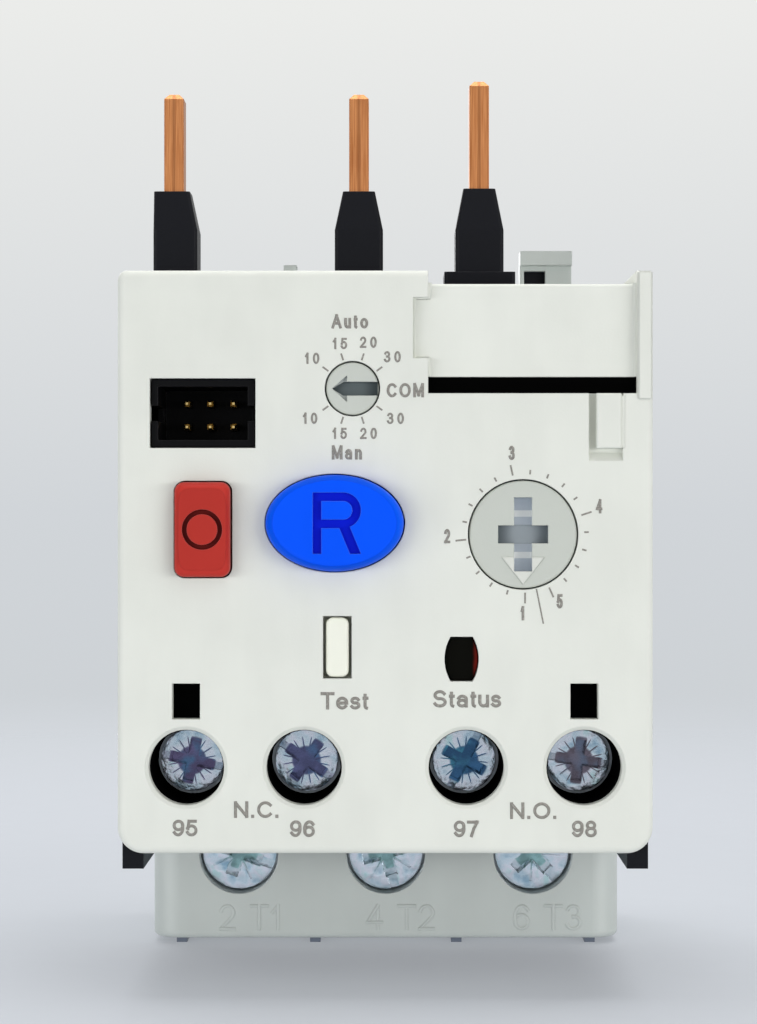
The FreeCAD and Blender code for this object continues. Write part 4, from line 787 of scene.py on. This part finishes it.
class WireSpring(NodeShape):
    """Round-wire coil along its own axis."""

    def __init__(self) -> None:
        """Build the tree."""
        super().__init__("wire_spring")
        turns, radius = self.size("Turns"), self.size("Radius")
        length, wire = self.size("Length"), self.size("Wire")
        coil = self.node("GeometryNodeCurveSpiral", {
            "Resolution": 28, "Rotations": turns, "Start Radius": radius, "End Radius": radius,
            "Height": length})
        ring = self.node("GeometryNodeCurvePrimitiveCircle", {"Resolution": 12, "Radius": wire})
        tube = self.node("GeometryNodeCurveToMesh", {
            "Curve": coil, "Profile Curve": ring, "Fill Caps": True})
        self.close(self.node("GeometryNodeSetShadeSmooth", {0: tube, "Shade Smooth": True}))


class InkStroke(NodeShape):
    """Flat bar of even width along every path of edges in the XY plane."""

    def __init__(self) -> None:
        """Build the tree."""
        super().__init__("ink_stroke")
        path = self.size("Path", "NodeSocketGeometry")
        wide, thick = self.size("Width"), self.size("Thickness")
        line = self.node("GeometryNodeMeshToCurve", {"Mesh": path})
        level = self.node("GeometryNodeSetCurveNormal", {"Curve": line}, mode="Z_UP")
        bar = self.node("GeometryNodeCurvePrimitiveQuadrilateral", {"Width": wide, "Height": thick})
        self.close(self.node("GeometryNodeCurveToMesh", {
            "Curve": level, "Profile Curve": bar, "Fill Caps": True}))

    def draw(self, name: str, paths: Iterable[Path], width: float, depth: float, face: float,
             finish: Material) -> Object:
        """Draw paths on a plane that looks along -Y.

        Args:
            name: Name of the new piece.
            paths: Middle lines of the strokes, as seen from the front.
            width: Width of the strokes.
            depth: How far they stand out.
            face: Place of the plane along Y.
            finish: Material of the strokes.

        Returns:
            One mesh object with its place in its mesh.
        """
        sizes = {"Width": width * MM, "Thickness": depth * MM, "Finish": finish}
        out = Matrix.Translation((0.0, (face - depth / 2) * MM, 0.0))
        return self.build(name, sizes, out @ Matrix.Rotation(math.pi / 2, 4, "X"), path_mesh(name, paths))


@dataclass(frozen=True)
class Glyph:
    """One letter: width and height as shares of a capital, and its strokes on a unit square.

    A stroke is a row of points, given by two numbers, and of arcs, given by centre, radii and two angles.
    """

    width: float
    strokes: tuple[tuple[tuple[float, ...], ...], ...]
    height: float = 1.0


SMALL = 0.74
RING = ((0.5, 0.5, 0.5, 0.5, 90, 450),)
SNAKE = ((0.5, 0.75, 0.43, 0.25, 25, 255), (0.5, 0.26, 0.48, 0.26, 80, -155))
GLYPHS = {
    "0": Glyph(0.70, (RING,)),
    "1": Glyph(0.44, (((0.0, 0.72), (0.75, 1.0)), ((0.75, 1.0), (0.75, 0.0)))),
    "2": Glyph(0.70, (((0.5, 0.7, 0.48, 0.3, 165, -35), (0.0, 0.0)), ((0.0, 0.0), (1.0, 0.0)))),
    "3": Glyph(0.70, (((0.48, 0.76, 0.44, 0.24, 160, -90),), ((0.48, 0.27, 0.52, 0.27, 90, -160),))),
    "4": Glyph(0.72, (((0.74, 0.0), (0.74, 1.0)), ((0.74, 1.0), (0.0, 0.28)), ((0.0, 0.28), (1.0, 0.28)))),
    "5": Glyph(0.70, (((0.92, 1.0), (0.2, 1.0)), ((0.2, 1.0), (0.07, 0.47)),
                      ((0.48, 0.33, 0.52, 0.33, 150, -155),))),
    "6": Glyph(0.70, (((0.5, 0.31, 0.5, 0.31, 0, 360),), ((0.55, 0.5, 0.55, 0.5, 40, 200),))),
    "7": Glyph(0.70, (((0.0, 1.0), (1.0, 1.0)), ((1.0, 1.0), (0.62, 0.52), (0.36, 0.0)))),
    "8": Glyph(0.70, (((0.5, 0.76, 0.42, 0.24, 0, 360),), ((0.5, 0.27, 0.5, 0.27, 0, 360),))),
    "9": Glyph(0.70, (((0.5, 0.69, 0.5, 0.31, 0, 360),), ((0.45, 0.5, 0.55, 0.5, 220, 380),))),
    "A": Glyph(0.92, (((0.0, 0.0), (0.5, 1.0)), ((0.5, 1.0), (1.0, 0.0)), ((0.2, 0.33), (0.8, 0.33)))),
    "C": Glyph(0.92, (((0.54, 0.5, 0.54, 0.5, 42, 318),),)),
    "M": Glyph(0.97, (((0.0, 0.0), (0.0, 1.0)), ((0.04, 1.0), (0.5, 0.08)), ((0.5, 0.08), (0.96, 1.0)),
                      ((1.0, 1.0), (1.0, 0.0)))),
    "N": Glyph(0.86, (((0.0, 0.0), (0.0, 1.0)), ((0.03, 0.97), (0.97, 0.03)), ((1.0, 0.0), (1.0, 1.0)))),
    "O": Glyph(1.03, (RING,)),
    "S": Glyph(0.82, (SNAKE,)),
    "T": Glyph(0.80, (((0.0, 1.0), (1.0, 1.0)), ((0.5, 1.0), (0.5, 0.0)))),
    "a": Glyph(0.68, (((0.47, 0.68, 0.45, 0.32, 160, 0), (0.92, 0.0)),
                      ((0.45, 0.29, 0.45, 0.29, 0, 360),)), SMALL),
    "e": Glyph(0.70, (((0.5, 0.5, 0.5, 0.5, 0, 320),), ((0.1, 0.5), (0.95, 0.5))), SMALL),
    "n": Glyph(0.62, (((0.0, 0.0), (0.0, 1.0)), ((0.5, 0.6, 0.5, 0.4, 180, 0), (1.0, 0.0))), SMALL),
    "o": Glyph(0.72, (RING,), SMALL),
    "s": Glyph(0.62, (SNAKE,), SMALL),
    "t": Glyph(0.38, (((0.38, 1.3), (0.38, 0.3), (0.76, 0.25, 0.38, 0.25, 190, 270)),
                      ((0.1, 1.0), (0.9, 1.0))), SMALL),
    "u": Glyph(0.62, (((0.0, 1.0), (0.5, 0.4, 0.5, 0.4, 180, 360)), ((1.0, 1.0), (1.0, 0.0))), SMALL),
    ".": Glyph(0.13, (((0.5, 0.0), (0.5, 0.02)),)),
    " ": Glyph(0.40, ()),
}


@dataclass(frozen=True)
class Lettering:
    """Even-stroke letters on a plane that looks along -Y: height of a capital, stroke and gap as its shares.

    Strokes stand on a few layers, a lift apart, so that those that cross don't share a plane.
    """

    cap: float
    stroke: float = 0.18
    squeeze: float = 1.0
    gap: float = 0.09
    arc_step: float = 15.0
    lift: float = 0.004
    layers: int = 4

    def build(self, name: str, words: Iterable[Word], face: float, depth: float,
              strokes: InkStroke, finish: Material) -> Object:
        """Write words in one piece.

        Args:
            name: Name of the piece.
            words: What is written, and the middle of each.
            face: Place of the plane along Y.
            depth: How far the letters stand out.
            strokes: Tree that draws the strokes.
            finish: Material of the letters.

        Returns:
            One mesh object with its place in its mesh.
        """
        paths = [path for word in words for path in self._paths(*word)]
        return strokes.draw(name, paths, self.stroke * self.cap, depth, face, finish)

    def _paths(self, text: str, x: float, z: float) -> list[Path]:
        """Middle lines of all strokes of a word.

        Args:
            text: The word.
            x: Its middle across.
            z: Its middle up.

        Returns:
            One path for each stroke.
        """
        glyphs = [GLYPHS[letter] for letter in text]
        widths = [glyph.width * self.squeeze * self.cap for glyph in glyphs]
        gap, line = self.gap * self.cap, self.stroke * self.cap
        left = x - (sum(widths) + gap * (len(glyphs) - 1)) / 2
        low = z - self.cap / 2 + line / 2
        paths: list[Path] = []
        for glyph, width in zip(glyphs, widths):
            wide, tall = width - line, glyph.height * self.cap - line
            for stroke in glyph.strokes:
                units = self._points(stroke)
                points = [Vector((left + line / 2 + u * wide, low + v * tall)) for u, v in units]
                closed = (points[0] - points[-1]).length < 1e-6
                points = points[:-1] if closed else self._longer(points, line / 2)
                lift = len(paths) % self.layers * self.lift
                paths.append(Path(tuple(tuple(point) for point in points), closed, lift))
            left += width + gap
        return paths

    def _points(self, stroke: tuple[tuple[float, ...], ...]) -> list[Point]:
        """Points of one stroke on the unit square.

        Args:
            stroke: Points and arcs of a glyph.

        Returns:
            The points, with the arcs in steps.
        """
        points: list[Point] = []
        for item in stroke:
            if len(item) == 2:
                points.append(item)
                continue
            u, v, wide, tall, start, stop = item
            steps = max(2, round(abs(stop - start) / self.arc_step))
            turns = [math.radians(start + (stop - start) * step / steps) for step in range(steps + 1)]
            points += [(u + wide * math.cos(turn), v + tall * math.sin(turn)) for turn in turns]
        return points

    def _longer(self, path: list[Vector], reach: float) -> list[Vector]:
        """Path with square ends that reach further.

        Args:
            path: Points of an open path.
            reach: How much further each end goes.

        Returns:
            The longer path.
        """
        first = path[0] + (path[0] - path[1]).normalized() * reach
        last = path[-1] + (path[-1] - path[-2]).normalized() * reach
        return [first] + path[1:-1] + [last]


@dataclass
class FacePrint:
    """Numbers, words and scale marks on the operating face, and raised marks on the base."""

    face: float = -27.0
    thickness: float = 0.02
    ink: PrintInk = PrintInk("print_ink", linear(136, 133, 126))
    printed: tuple[tuple[str, Lettering, tuple[Word, ...]], ...] = (
        ("mode_words", Lettering(1.2, 0.19, 0.78, 0.17), (
            ("Auto", -2.97, -4.3), ("Man", -3.22, -15.3), ("COM", 1.69, -10.08))),
        ("delay_numbers", Lettering(0.95, 0.18, 0.82, 0.34), (
            ("15", -3.8, -6.16), ("20", -1.42, -6.05), ("10", -6.13, -7.4), ("30", 0.6, -7.27),
            ("10", -6.3, -12.43), ("30", 0.86, -12.44), ("15", -3.82, -13.7), ("20", -1.4, -13.7))),
        ("current_numbers", Lettering(1.2, 0.18, 0.62), (
            ("3", 10.62, -15.34), ("2", 5.2, -22.32), ("4", 17.96, -19.82), ("5", 14.65, -27.8),
            ("1", 11.53, -28.8))),
        ("function_words", Lettering(1.46), (("Test", -3.4, -36.15), ("Status", 6.87, -35.98))),
        ("contact_words", Lettering(1.4, gap=0.2), (("N.C.", -10.85, -45.28), ("N.O.", 12.4, -45.37))),
        ("contact_numbers", Lettering(1.4), (
            ("95", -16.8, -46.83), ("96", -6.95, -46.88), ("97", 6.8, -46.9), ("98", 16.72, -46.9))))
    marks: Lettering = Lettering(2.5, 0.13, 0.9)
    moulded: tuple[Word, ...] = (("2 T1", -12.9, -58.9), ("4 T2", 1.4, -58.9), ("6 T3", 15.4, -58.9))
    raised: float = 0.02
    scale_middle: Point = (11.74, -22.1)
    scale_line: float = 0.15
    divider: Path = Path(((12.69, -26.75), (13.28, -29.68)))
    divider_line: float = 0.12

    def build(self, strokes: InkStroke, moulding: Material) -> None:
        """Print the face and mould the marks of the base.

        Args:
            strokes: Tree that draws strokes.
            moulding: Material of the marks on the base.
        """
        ink = self.ink.material()
        for name, letters, words in self.printed:
            carry(letters.build(name, words, self.face, self.thickness, strokes, ink), HOUSING)
        base_face = NodeBox("terminal_base").low[1]
        marks = self.marks.build("pole_marks", self.moulded, base_face, self.raised, strokes, moulding)
        carry(marks, HOUSING)
        self._scales(ink)
        divider = strokes.draw("scale_divider", (self.divider,), self.divider_line, self.thickness, self.face,
                               ink)
        carry(divider, HOUSING)

    def _scales(self, ink: Material) -> None:
        """Print the marks round both dials.

        Args:
            ink: Material of the marks.
        """
        ring = TickRing()
        x, _, z = NodeBox("mode_dial").middle
        full = {"Count": 21, "Radius": 4.97 * MM, "First": -math.pi / 2, "Sweep": -math.radians(336),
                "Every": 5, "Short": 0.38 * MM, "Long": 0.9 * MM}
        half = {"Count": 4, "Radius": 2.5 * MM, "Sweep": math.radians(108), "Every": 1, "Short": 0.6 * MM,
                "Long": 0.6 * MM}
        scales = {"current_scale": (self.scale_middle, full),
                  "mode_scale_auto": ((x, z), half | {"First": math.radians(36)}),
                  "mode_scale_man": ((x, z), half | {"First": math.radians(216)})}
        shared = {"Width": self.scale_line * MM, "Thickness": self.thickness * MM, "Finish": ink}
        for name, ((x, z), sizes) in scales.items():
            move = Matrix.Translation((x * MM, (self.face - self.thickness / 2) * MM, z * MM))
            carry(ring.build(name, sizes | shared, move), HOUSING)


@dataclass(frozen=True)
class Plate:
    """Flat plate with soft edges: its two corners and its edge radius."""

    name: str
    low: Triple
    high: Triple
    soft: float = 0.08

    def build(self) -> Object:
        """Mesh of the plate, in its place."""
        shape = bmesh.new()
        bmesh.ops.create_cube(shape, size=1.0)
        span = [(b - a) * MM for a, b in zip(self.low, self.high)]
        middle = [(a + b) / 2 * MM for a, b in zip(self.low, self.high)]
        bmesh.ops.scale(shape, vec=span, verts=shape.verts)
        bmesh.ops.translate(shape, vec=middle, verts=shape.verts)
        bmesh.ops.bevel(shape, geom=shape.edges[:], offset=self.soft * MM, segments=2, affect="EDGES")
        mesh = bpy.data.meshes.new(self.name)
        shape.to_mesh(mesh)
        shape.free()
        return new_object(self.name, mesh)


@dataclass
class Enclosure:
    """Cover, blank, block, housing, base and rear plate, with what closes the view through their gaps:
    near-black plates that are painted shade behind openings, and pale strips and a post.
    """

    # Painted shade: the lowest half millimetre of the base, with its feet, is darker.
    base: MouldedPlastic = MouldedPlastic("base_plastic", linear(194, 200, 196), 0.36, 0.5, recesses=(
        Recess("terminal_base", 23.0, 0.5, -1.0, linear(96, 104, 118),
               rise=-NodeBox("terminal_base").half[2]),))
    mark_edge: float = 0.004
    shells: tuple[tuple[MouldedPlastic, tuple[str, ...]], ...] = (
        (MouldedPlastic("cover_plastic", linear(224, 226, 218), 0.52, 0.25), ("front_cover",)),
        (MouldedPlastic("blank_plastic", linear(226, 228, 220), 0.48, 0.25), ("option_cover",)),
        (MouldedPlastic("black_plastic", linear(19, 20, 25), 0.45, 0.1, edge_highlight=0.05),
         ("mid_housing", *numbered("stab_sleeve", POLES))),
        (MouldedPlastic("block_plastic", linear(6, 6, 7), 0.8, 0.0, edge_highlight=0.0), ("terminal_block",)),
        (MouldedPlastic("shroud_plastic", linear(11, 11, 13), 0.45, 0.07, edge_highlight=0.03), ("header_shroud",)),
        # Near-black finish of the plates that are painted shade.
        (MouldedPlastic("painted_shade_plastic", linear(2, 2, 2), 0.6, 0.01, edge_highlight=0.0), ()))
    # The near-black plates behind the probe openings and the option slot, and the black pad behind the hook's
    # hole, are painted shade: dark sheets where the openings show only shade.
    plates: tuple[tuple[Plate, str, str], ...] = (
        (Plate("probe_shade_95", (-18.27, -25.15, -38.05), (-15.17, -24.85, -34.35)),
         "painted_shade_plastic", "black_plastic"),
        (Plate("probe_shade_98", (15.17, -25.15, -38.05), (18.27, -24.85, -34.35)),
         "painted_shade_plastic", "black_plastic"),
        (Plate("slot_shade", (3.5, -25.95, -10.45), (21.3, -25.65, -8.8)), "painted_shade_plastic", "black_plastic"),
        (Plate("hook_hole_shade", (13.6, 21.4, -0.3), (15.9, 21.8, 3.7)), "black_plastic", "black_plastic"),
        (Plate("bay_post", (21.2, -27.2, -10.9), (22.44, -26.9, -0.05), 0.12),
         "cover_plastic", "cover_plastic"))
    seams: tuple[tuple[str, float, Path], ...] = (
        ("bay_seam_left", -26.0, Path(((3.68, -1.0), (3.68, -2.2), (2.42, -2.2), (2.42, -7.46), (3.68, -7.46),
                                       (3.68, -8.9)))),
        ("bay_seam_right", -26.0, Path(((21.09, -1.0), (21.09, -8.9)))),
        ("latch_seam", -26.75, Path(((19.885, -10.5), (19.885, -14.9)))))
    seam_width: float = 0.5
    seam_depth: float = 0.3

    def build(self, strokes: InkStroke) -> Material:
        """Dress the shells and close the view through their gaps.

        Args:
            strokes: Tree that lays a strip along a path.

        Returns:
            Material for fine marks that are moulded with the base.
        """
        dress_nodes(self.base, "terminal_base", "back_plate")
        made = {finish.name: dress_nodes(finish, *names) for finish, names in self.shells}
        for plate, look, slot in self.plates:
            piece = plate.build()
            dress(piece, made[look])
            carry(piece, HOUSING)
        for name, face, path in self.seams:
            strip = strokes.draw(name, (path,), self.seam_width, self.seam_depth, face, made["cover_plastic"])
            carry(strip, HOUSING)
        return replace(self.base, name="mark_plastic", edge=self.mark_edge, recesses=()).material()


@dataclass
class Controls:
    """Buttons, dials, window and header on the face, with the springs behind the buttons."""

    wire: float = 0.45
    turns: float = 6.0
    clear: float = 0.05
    travels: tuple[tuple[str, float], ...] = (("reset", 2.0), ("stop", 1.5), ("test", 1.5))
    pale: Triple = linear(196, 200, 192)

    def build(self) -> None:
        """Dress the controls and coil the springs."""
        self._buttons()
        self._dials()
        dress_nodes(SmokedLens("smoked_lens", "status_lens"), "status_lens")
        dress_nodes(StampedMetal("pin_gold", (0.86, 0.62, 0.25), 0.24), "header_pins")
        dress_nodes(MouldedPlastic("switch_plastic", linear(60, 64, 70)), "mode_switch", "current_trimmer")
        self._coil(StampedMetal("spring_steel", (0.55, 0.55, 0.56)).material())

    def _buttons(self) -> None:
        """Dress the buttons, with painted highlights on their sloped rims, painted shade on their sides, and
        painted shade in the engraved letter and ring a little behind their fronts.
        """
        reset, stop = "reset_button", "stop_button"
        # Reset: painted shade on the sides behind the front, and painted shade in the engraved letter.
        dress_nodes(MouldedPlastic(
            "reset_plastic", linear(0, 84, 250), 0.42, 0.08, slopes=(Slope(reset, 5.85, 4.05, 0.45, 0.88),),
            recesses=(Recess(reset, 7.0, 6.0, 0.48, linear(0, 72, 228), linear(0, 62, 204), 0.5),
                      Recess(reset, 2.4, 2.8, 0.12, linear(0, 26, 204)))), reset)
        # Stop: painted shade on the sides behind the front, and painted shade in the engraved ring.
        dress_nodes(MouldedPlastic(
            "stop_plastic", linear(178, 50, 42), 0.45, 0.12, slopes=(Slope(stop, 2.35, 4.0, 0.3, 0.84, 6.0),),
            recesses=(Recess(stop, 4.0, 6.0, 0.2, linear(120, 28, 22), linear(104, 22, 17), 0.5),
                      Recess(stop, 1.85, 1.85, 0.12, linear(94, 9, 5)))), stop)
        dress_nodes(MouldedPlastic("test_plastic", linear(240, 241, 227), 0.45), "test_plunger")

    def _dials(self) -> None:
        """Dress the dials, with painted shade in the arrow slot and in the cross slot, painted light on the
        cross slot's upright arms, and a painted highlight left on the current dial's raised arrow.
        """
        mode, current = "mode_dial", "current_dial"
        # Painted shade: the arrow slot of the mode dial is darker, most of all towards its ends.
        dress_nodes(MouldedPlastic("mode_plastic", self.pale, 0.42, recesses=(
            Recess(mode, 2.12, 1.15, 0.09, linear(178, 183, 180)),
            Recess(mode, 2.12, 1.15, 0.45, linear(100, 110, 112), linear(62, 72, 74), 0.2))), mode)
        # Painted light: the upright arms of the cross slot are lighter, with painted highlights in bands
        # across them.
        ends = [Recess(current, 0.8, 1.2, 0.19, linear(198, 206, 214), linear(190, 198, 206), rise=rise)
                for rise in (-2.0, 2.0)]
        painted_highlights = [Recess(current, 0.8, 0.27, 0.19, linear(240, 242, 240), rise=rise)
                 for rise in (-1.75, 1.75)]
        # The face round the raised arrow is painted a little darker, which leaves a painted highlight on the
        # arrow; the cross slot is painted shade, darker towards its ends.
        dress_nodes(MouldedPlastic("current_plastic", linear(213, 215, 207), 0.42, recesses=(
            Recess(current, 5.0, 5.0, 0.02, self.pale, fade=0.04),
            Recess(current, 2.3, 3.3, 0.19, linear(152, 160, 165), linear(106, 116, 121)),
            *ends, *painted_highlights)), current)

    def _coil(self, steel: Material) -> None:
        """Coil a round-wire spring in the place of each packed one.

        Args:
            steel: Material of the springs.
        """
        tree = WireSpring()
        lay = Matrix.Rotation(-math.pi / 2, 4, "X")
        for name, travel in self.travels:
            box = NodeBox(name + "_spring")
            x, _, z = box.middle
            radius, length = box.half[0] - self.wire / 2, 2 * box.half[1] - self.wire
            move = Matrix.Translation((x * MM, (box.low[1] + self.wire / 2) * MM, z * MM)) @ lay
            coil = tree.build(name + "_coil", {
                "Turns": self.turns, "Radius": radius * MM, "Length": length * MM, "Wire": self.wire / 2 * MM,
                "Finish": steel}, move)
            carry(coil, HOUSING)
            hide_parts(name + "_spring")
            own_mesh(coil)


@dataclass
class Terminals:
    """Screws, clamps and strips of the control and load terminals, with each screw's turn in degrees."""

    control: tuple[tuple[int, float, Triple, Triple], ...] = (
        (95, 12.0, linear(112, 104, 142), linear(84, 120, 156)),
        (96, 35.0, linear(104, 108, 150), linear(88, 118, 158)),
        (97, 118.0, linear(64, 108, 150), linear(74, 138, 164)),
        (98, 8.0, linear(124, 116, 130), linear(106, 118, 140)))
    control_head: float = 2.0
    control_pitch: float = 0.5
    load: tuple[tuple[int, float], ...] = ((1, 20.0), (2, 75.0), (3, 48.0))
    load_head: float = 2.8
    load_pitch: float = 0.7
    light: Tint = Tint(linear(152, 192, 194), linear(162, 204, 206), 0.3, 0.2, 0.2)

    def build(self) -> None:
        """Dress the terminals."""
        dress_nodes(StampedMetal("clamp_zinc", linear(206, 214, 222), 0.32),
                    *numbered("control_clamp", CONTACTS), *numbered("load_clamp", POLES))
        dress_nodes(StampedMetal("contact_brass", (0.62, 0.45, 0.2), 0.36),
                    *numbered("contact_strip", CONTACTS))
        for number, turn, violet, blue in self.control:
            node, tint = "control_screw_%d" % number, Tint(violet, blue, 0.46, 0.3, 0.45)
            dress_nodes(ZincPlate("control_zinc_%d" % number, node, tint, turn, self.control_head,
                                  self.control_pitch), node)
        for number, turn in self.load:
            node = "load_screw_%d" % number
            dress_nodes(ZincPlate("load_zinc_%d" % number, node, self.light, turn, self.load_head,
                                  self.load_pitch), node)


@dataclass
class LineSide:
    """Stabs, bars and current transformers of the three poles."""

    bar: StampedMetal = StampedMetal("bar_copper", (0.78, 0.44, 0.27), 0.32)
    core: Banded = Banded("core_laminations", linear(92, 94, 98), linear(44, 46, 50), Axis.UP, 0.5, 0.8, 0.4)
    coil: Banded = Banded("coil_winding", linear(178, 96, 50), linear(84, 40, 20), Axis.ACROSS, 0.35, 0.7,
                          0.32)

    def build(self) -> None:
        """Dress the power path."""
        dress_nodes(self.bar, *numbered("load_bar", POLES))
        dress_nodes(self.core, *numbered("ct_core", POLES))
        dress_nodes(self.coil, *numbered("ct_coil", POLES))
        for pole, stab in zip(POLES, numbered("line_stab", POLES)):
            dress_nodes(DrawnCopper("stab_copper_%d" % pole, stab), stab)


@dataclass
class Inside:
    """Board, solenoid and contact set."""

    winding: Banded = Banded("solenoid_winding", linear(186, 104, 56), linear(90, 44, 22), Axis.UP, 0.3, 0.7,
                             0.3)

    def build(self) -> None:
        """Dress what the covers hide."""
        dress_nodes(SolderMask("solder_mask"), "control_board")
        dress_nodes(MouldedPlastic("chip_epoxy", linear(38, 38, 40), 0.45), "board_chips")
        dress_nodes(StampedMetal("yoke_steel", (0.52, 0.53, 0.55), 0.36), "solenoid_yoke", "solenoid_plunger")
        dress_nodes(self.winding, "solenoid_coil")
        dress_nodes(MouldedPlastic("carrier_plastic", linear(70, 62, 54)), "contact_carrier")
        dress_nodes(StampedMetal("bridge_brass", (0.76, 0.58, 0.28)), "nc_bridge", "no_bridge")


class Lamp(NamedTuple):
    """Rectangular soft light: its name, place, size, power in watts and colour."""

    name: str
    place: Triple
    size: Point
    power: float
    colour: Triple

    def build(self, aim: Triple) -> None:
        """Put the light into the scene.

        Args:
            aim: Point that it looks at.
        """
        light = bpy.data.lights.new(self.name, "AREA")
        light.shape = "RECTANGLE"
        light.size, light.size_y = self.size
        light.energy = self.power
        light.color = self.colour
        made = new_object(self.name, light)
        made.location = self.place
        made.rotation_euler = (Vector(aim) - Vector(self.place)).to_track_quat("-Z", "Y").to_euler()


@dataclass
class Studio:
    """Pale floor, soft light and the camera of the photograph, in metres."""

    floor: float = CAD_BOX[0][2]
    floor_half: float = 3.0
    floor_fade: Point = (0.12, 0.45)
    paper: Triple = linear(211, 215, 221)
    glow: float = 0.45
    room: Triple = (0.98, 0.99, 1.0)
    room_light: float = 0.27
    high: Triple = linear(235, 236, 234)
    level: Triple = linear(209, 213, 217)
    low: Triple = linear(199, 204, 208)
    spread: float = 0.16
    aim: Triple = (0.0, 0.0, -0.02)
    lamps: tuple[Lamp, ...] = (
        Lamp("key_light", (0.30, -0.42, 0.42), (0.4, 0.4), 0.5, (1.0, 0.995, 0.98)),
        Lamp("top_light", (0.05, 0.08, 0.7), (0.6, 0.6), 4.2, (1.0, 1.0, 1.0)),
        Lamp("left_strip", (-0.42, -0.42, -0.008), (0.5, 0.1), 1.38, (0.98, 0.99, 1.0)),
        Lamp("right_strip", (0.42, -0.42, -0.008), (0.5, 0.1), 1.38, (1.0, 0.995, 0.985)),
        Lamp("back_fill", (-0.25, 0.6, 0.3), (0.6, 0.6), 2.4, (0.98, 0.99, 1.0)))
    eye: Triple = (0.0004, -0.287, -0.0203)
    lens: float = 108.9
    sensor: float = 36.0
    shift: float = -0.0112
    near: float = 0.005

    def build(self) -> None:
        """Set the whole studio."""
        self._floor()
        self._world()
        for lamp in self.lamps:
            lamp.build(self.aim)
        self._camera()
        bpy.context.scene.view_settings.view_transform = "Standard"

    def _floor(self) -> None:
        """Floor that fades into the background away from the object."""
        mesh, half = bpy.data.meshes.new("floor"), self.floor_half
        corners = [(-half, -half, self.floor), (half, -half, self.floor), (half, half, self.floor),
                   (-half, half, self.floor)]
        mesh.from_pydata(corners, [], [(0, 1, 2, 3)])
        ground = new_object("floor", mesh)
        shop = Shop(bpy.data.materials.new("pale_floor"))
        middle = shop.place((0.0, 0.0, self.floor / MM))
        away = shop.node("ShaderNodeVectorMath", {0: middle}, "Value", operation="LENGTH")
        colour = shop.mix(shop.noise(shop.place(), 3.0), shade(self.paper, 0.98), self.paper)
        plain = shop.node("ShaderNodeBsdfDiffuse", {"Color": colour})
        lit = shop.node("ShaderNodeEmission", {"Color": colour, "Strength": 0.9})
        soft = shop.node("ShaderNodeMixShader", {0: self.glow, 1: plain, 2: lit})
        near, far = self.floor_fade
        dress(ground, shop.close(shop.node("ShaderNodeMixShader", {
            0: shop.smooth(away, near / MM, far / MM), 1: soft, 2: shop.node("ShaderNodeBsdfTransparent")})))

    def _world(self) -> None:
        """World with a pale background, darker below the horizon than above it, that gives soft light."""
        shop = Shop(bpy.data.worlds.new("soft_room"))
        seen = shop.node("ShaderNodeLightPath", output="Is Camera Ray")
        for name in ("Is Glossy Ray", "Is Transmission Ray"):
            seen = shop.maths("MAXIMUM", seen, shop.node("ShaderNodeLightPath", output=name))
        height = shop.axis(shop.node("ShaderNodeTexCoord", output="Generated"), Axis.UP)
        share = shop.node("ShaderNodeMapRange", {
            "Value": height, "From Min": -self.spread, "From Max": self.spread})
        sky = shop.ramp(share, (0.0, self.low), (0.5, self.level), (1.0, self.high))
        room = shop.node("ShaderNodeBackground", {"Color": self.room, "Strength": self.room_light})
        view = shop.node("ShaderNodeBackground", {"Color": sky})
        blend = shop.node("ShaderNodeMixShader", {0: seen, 1: room, 2: view})
        bpy.context.scene.world = shop.close(blend)

    def _camera(self) -> None:
        """Level camera in front of the face."""
        view = bpy.data.cameras.new("camera")
        view.lens = self.lens
        view.sensor_width = self.sensor
        view.shift_x = self.shift
        view.clip_start = self.near
        made = new_object("camera", view)
        made.location = self.eye
        made.rotation_euler = (math.pi / 2, 0.0, 0.0)
        bpy.context.scene.camera = made


def main() -> None:
    """Build every class in order."""
    logging.basicConfig(level=logging.INFO, format="%(name)s: %(message)s")
    Studio().build()
    strokes = InkStroke()
    moulding = Enclosure().build(strokes)
    Controls().build()
    Terminals().build()
    LineSide().build()
    Inside().build()
    FacePrint().build(strokes, moulding)


if __name__ == "__main__":
    main()
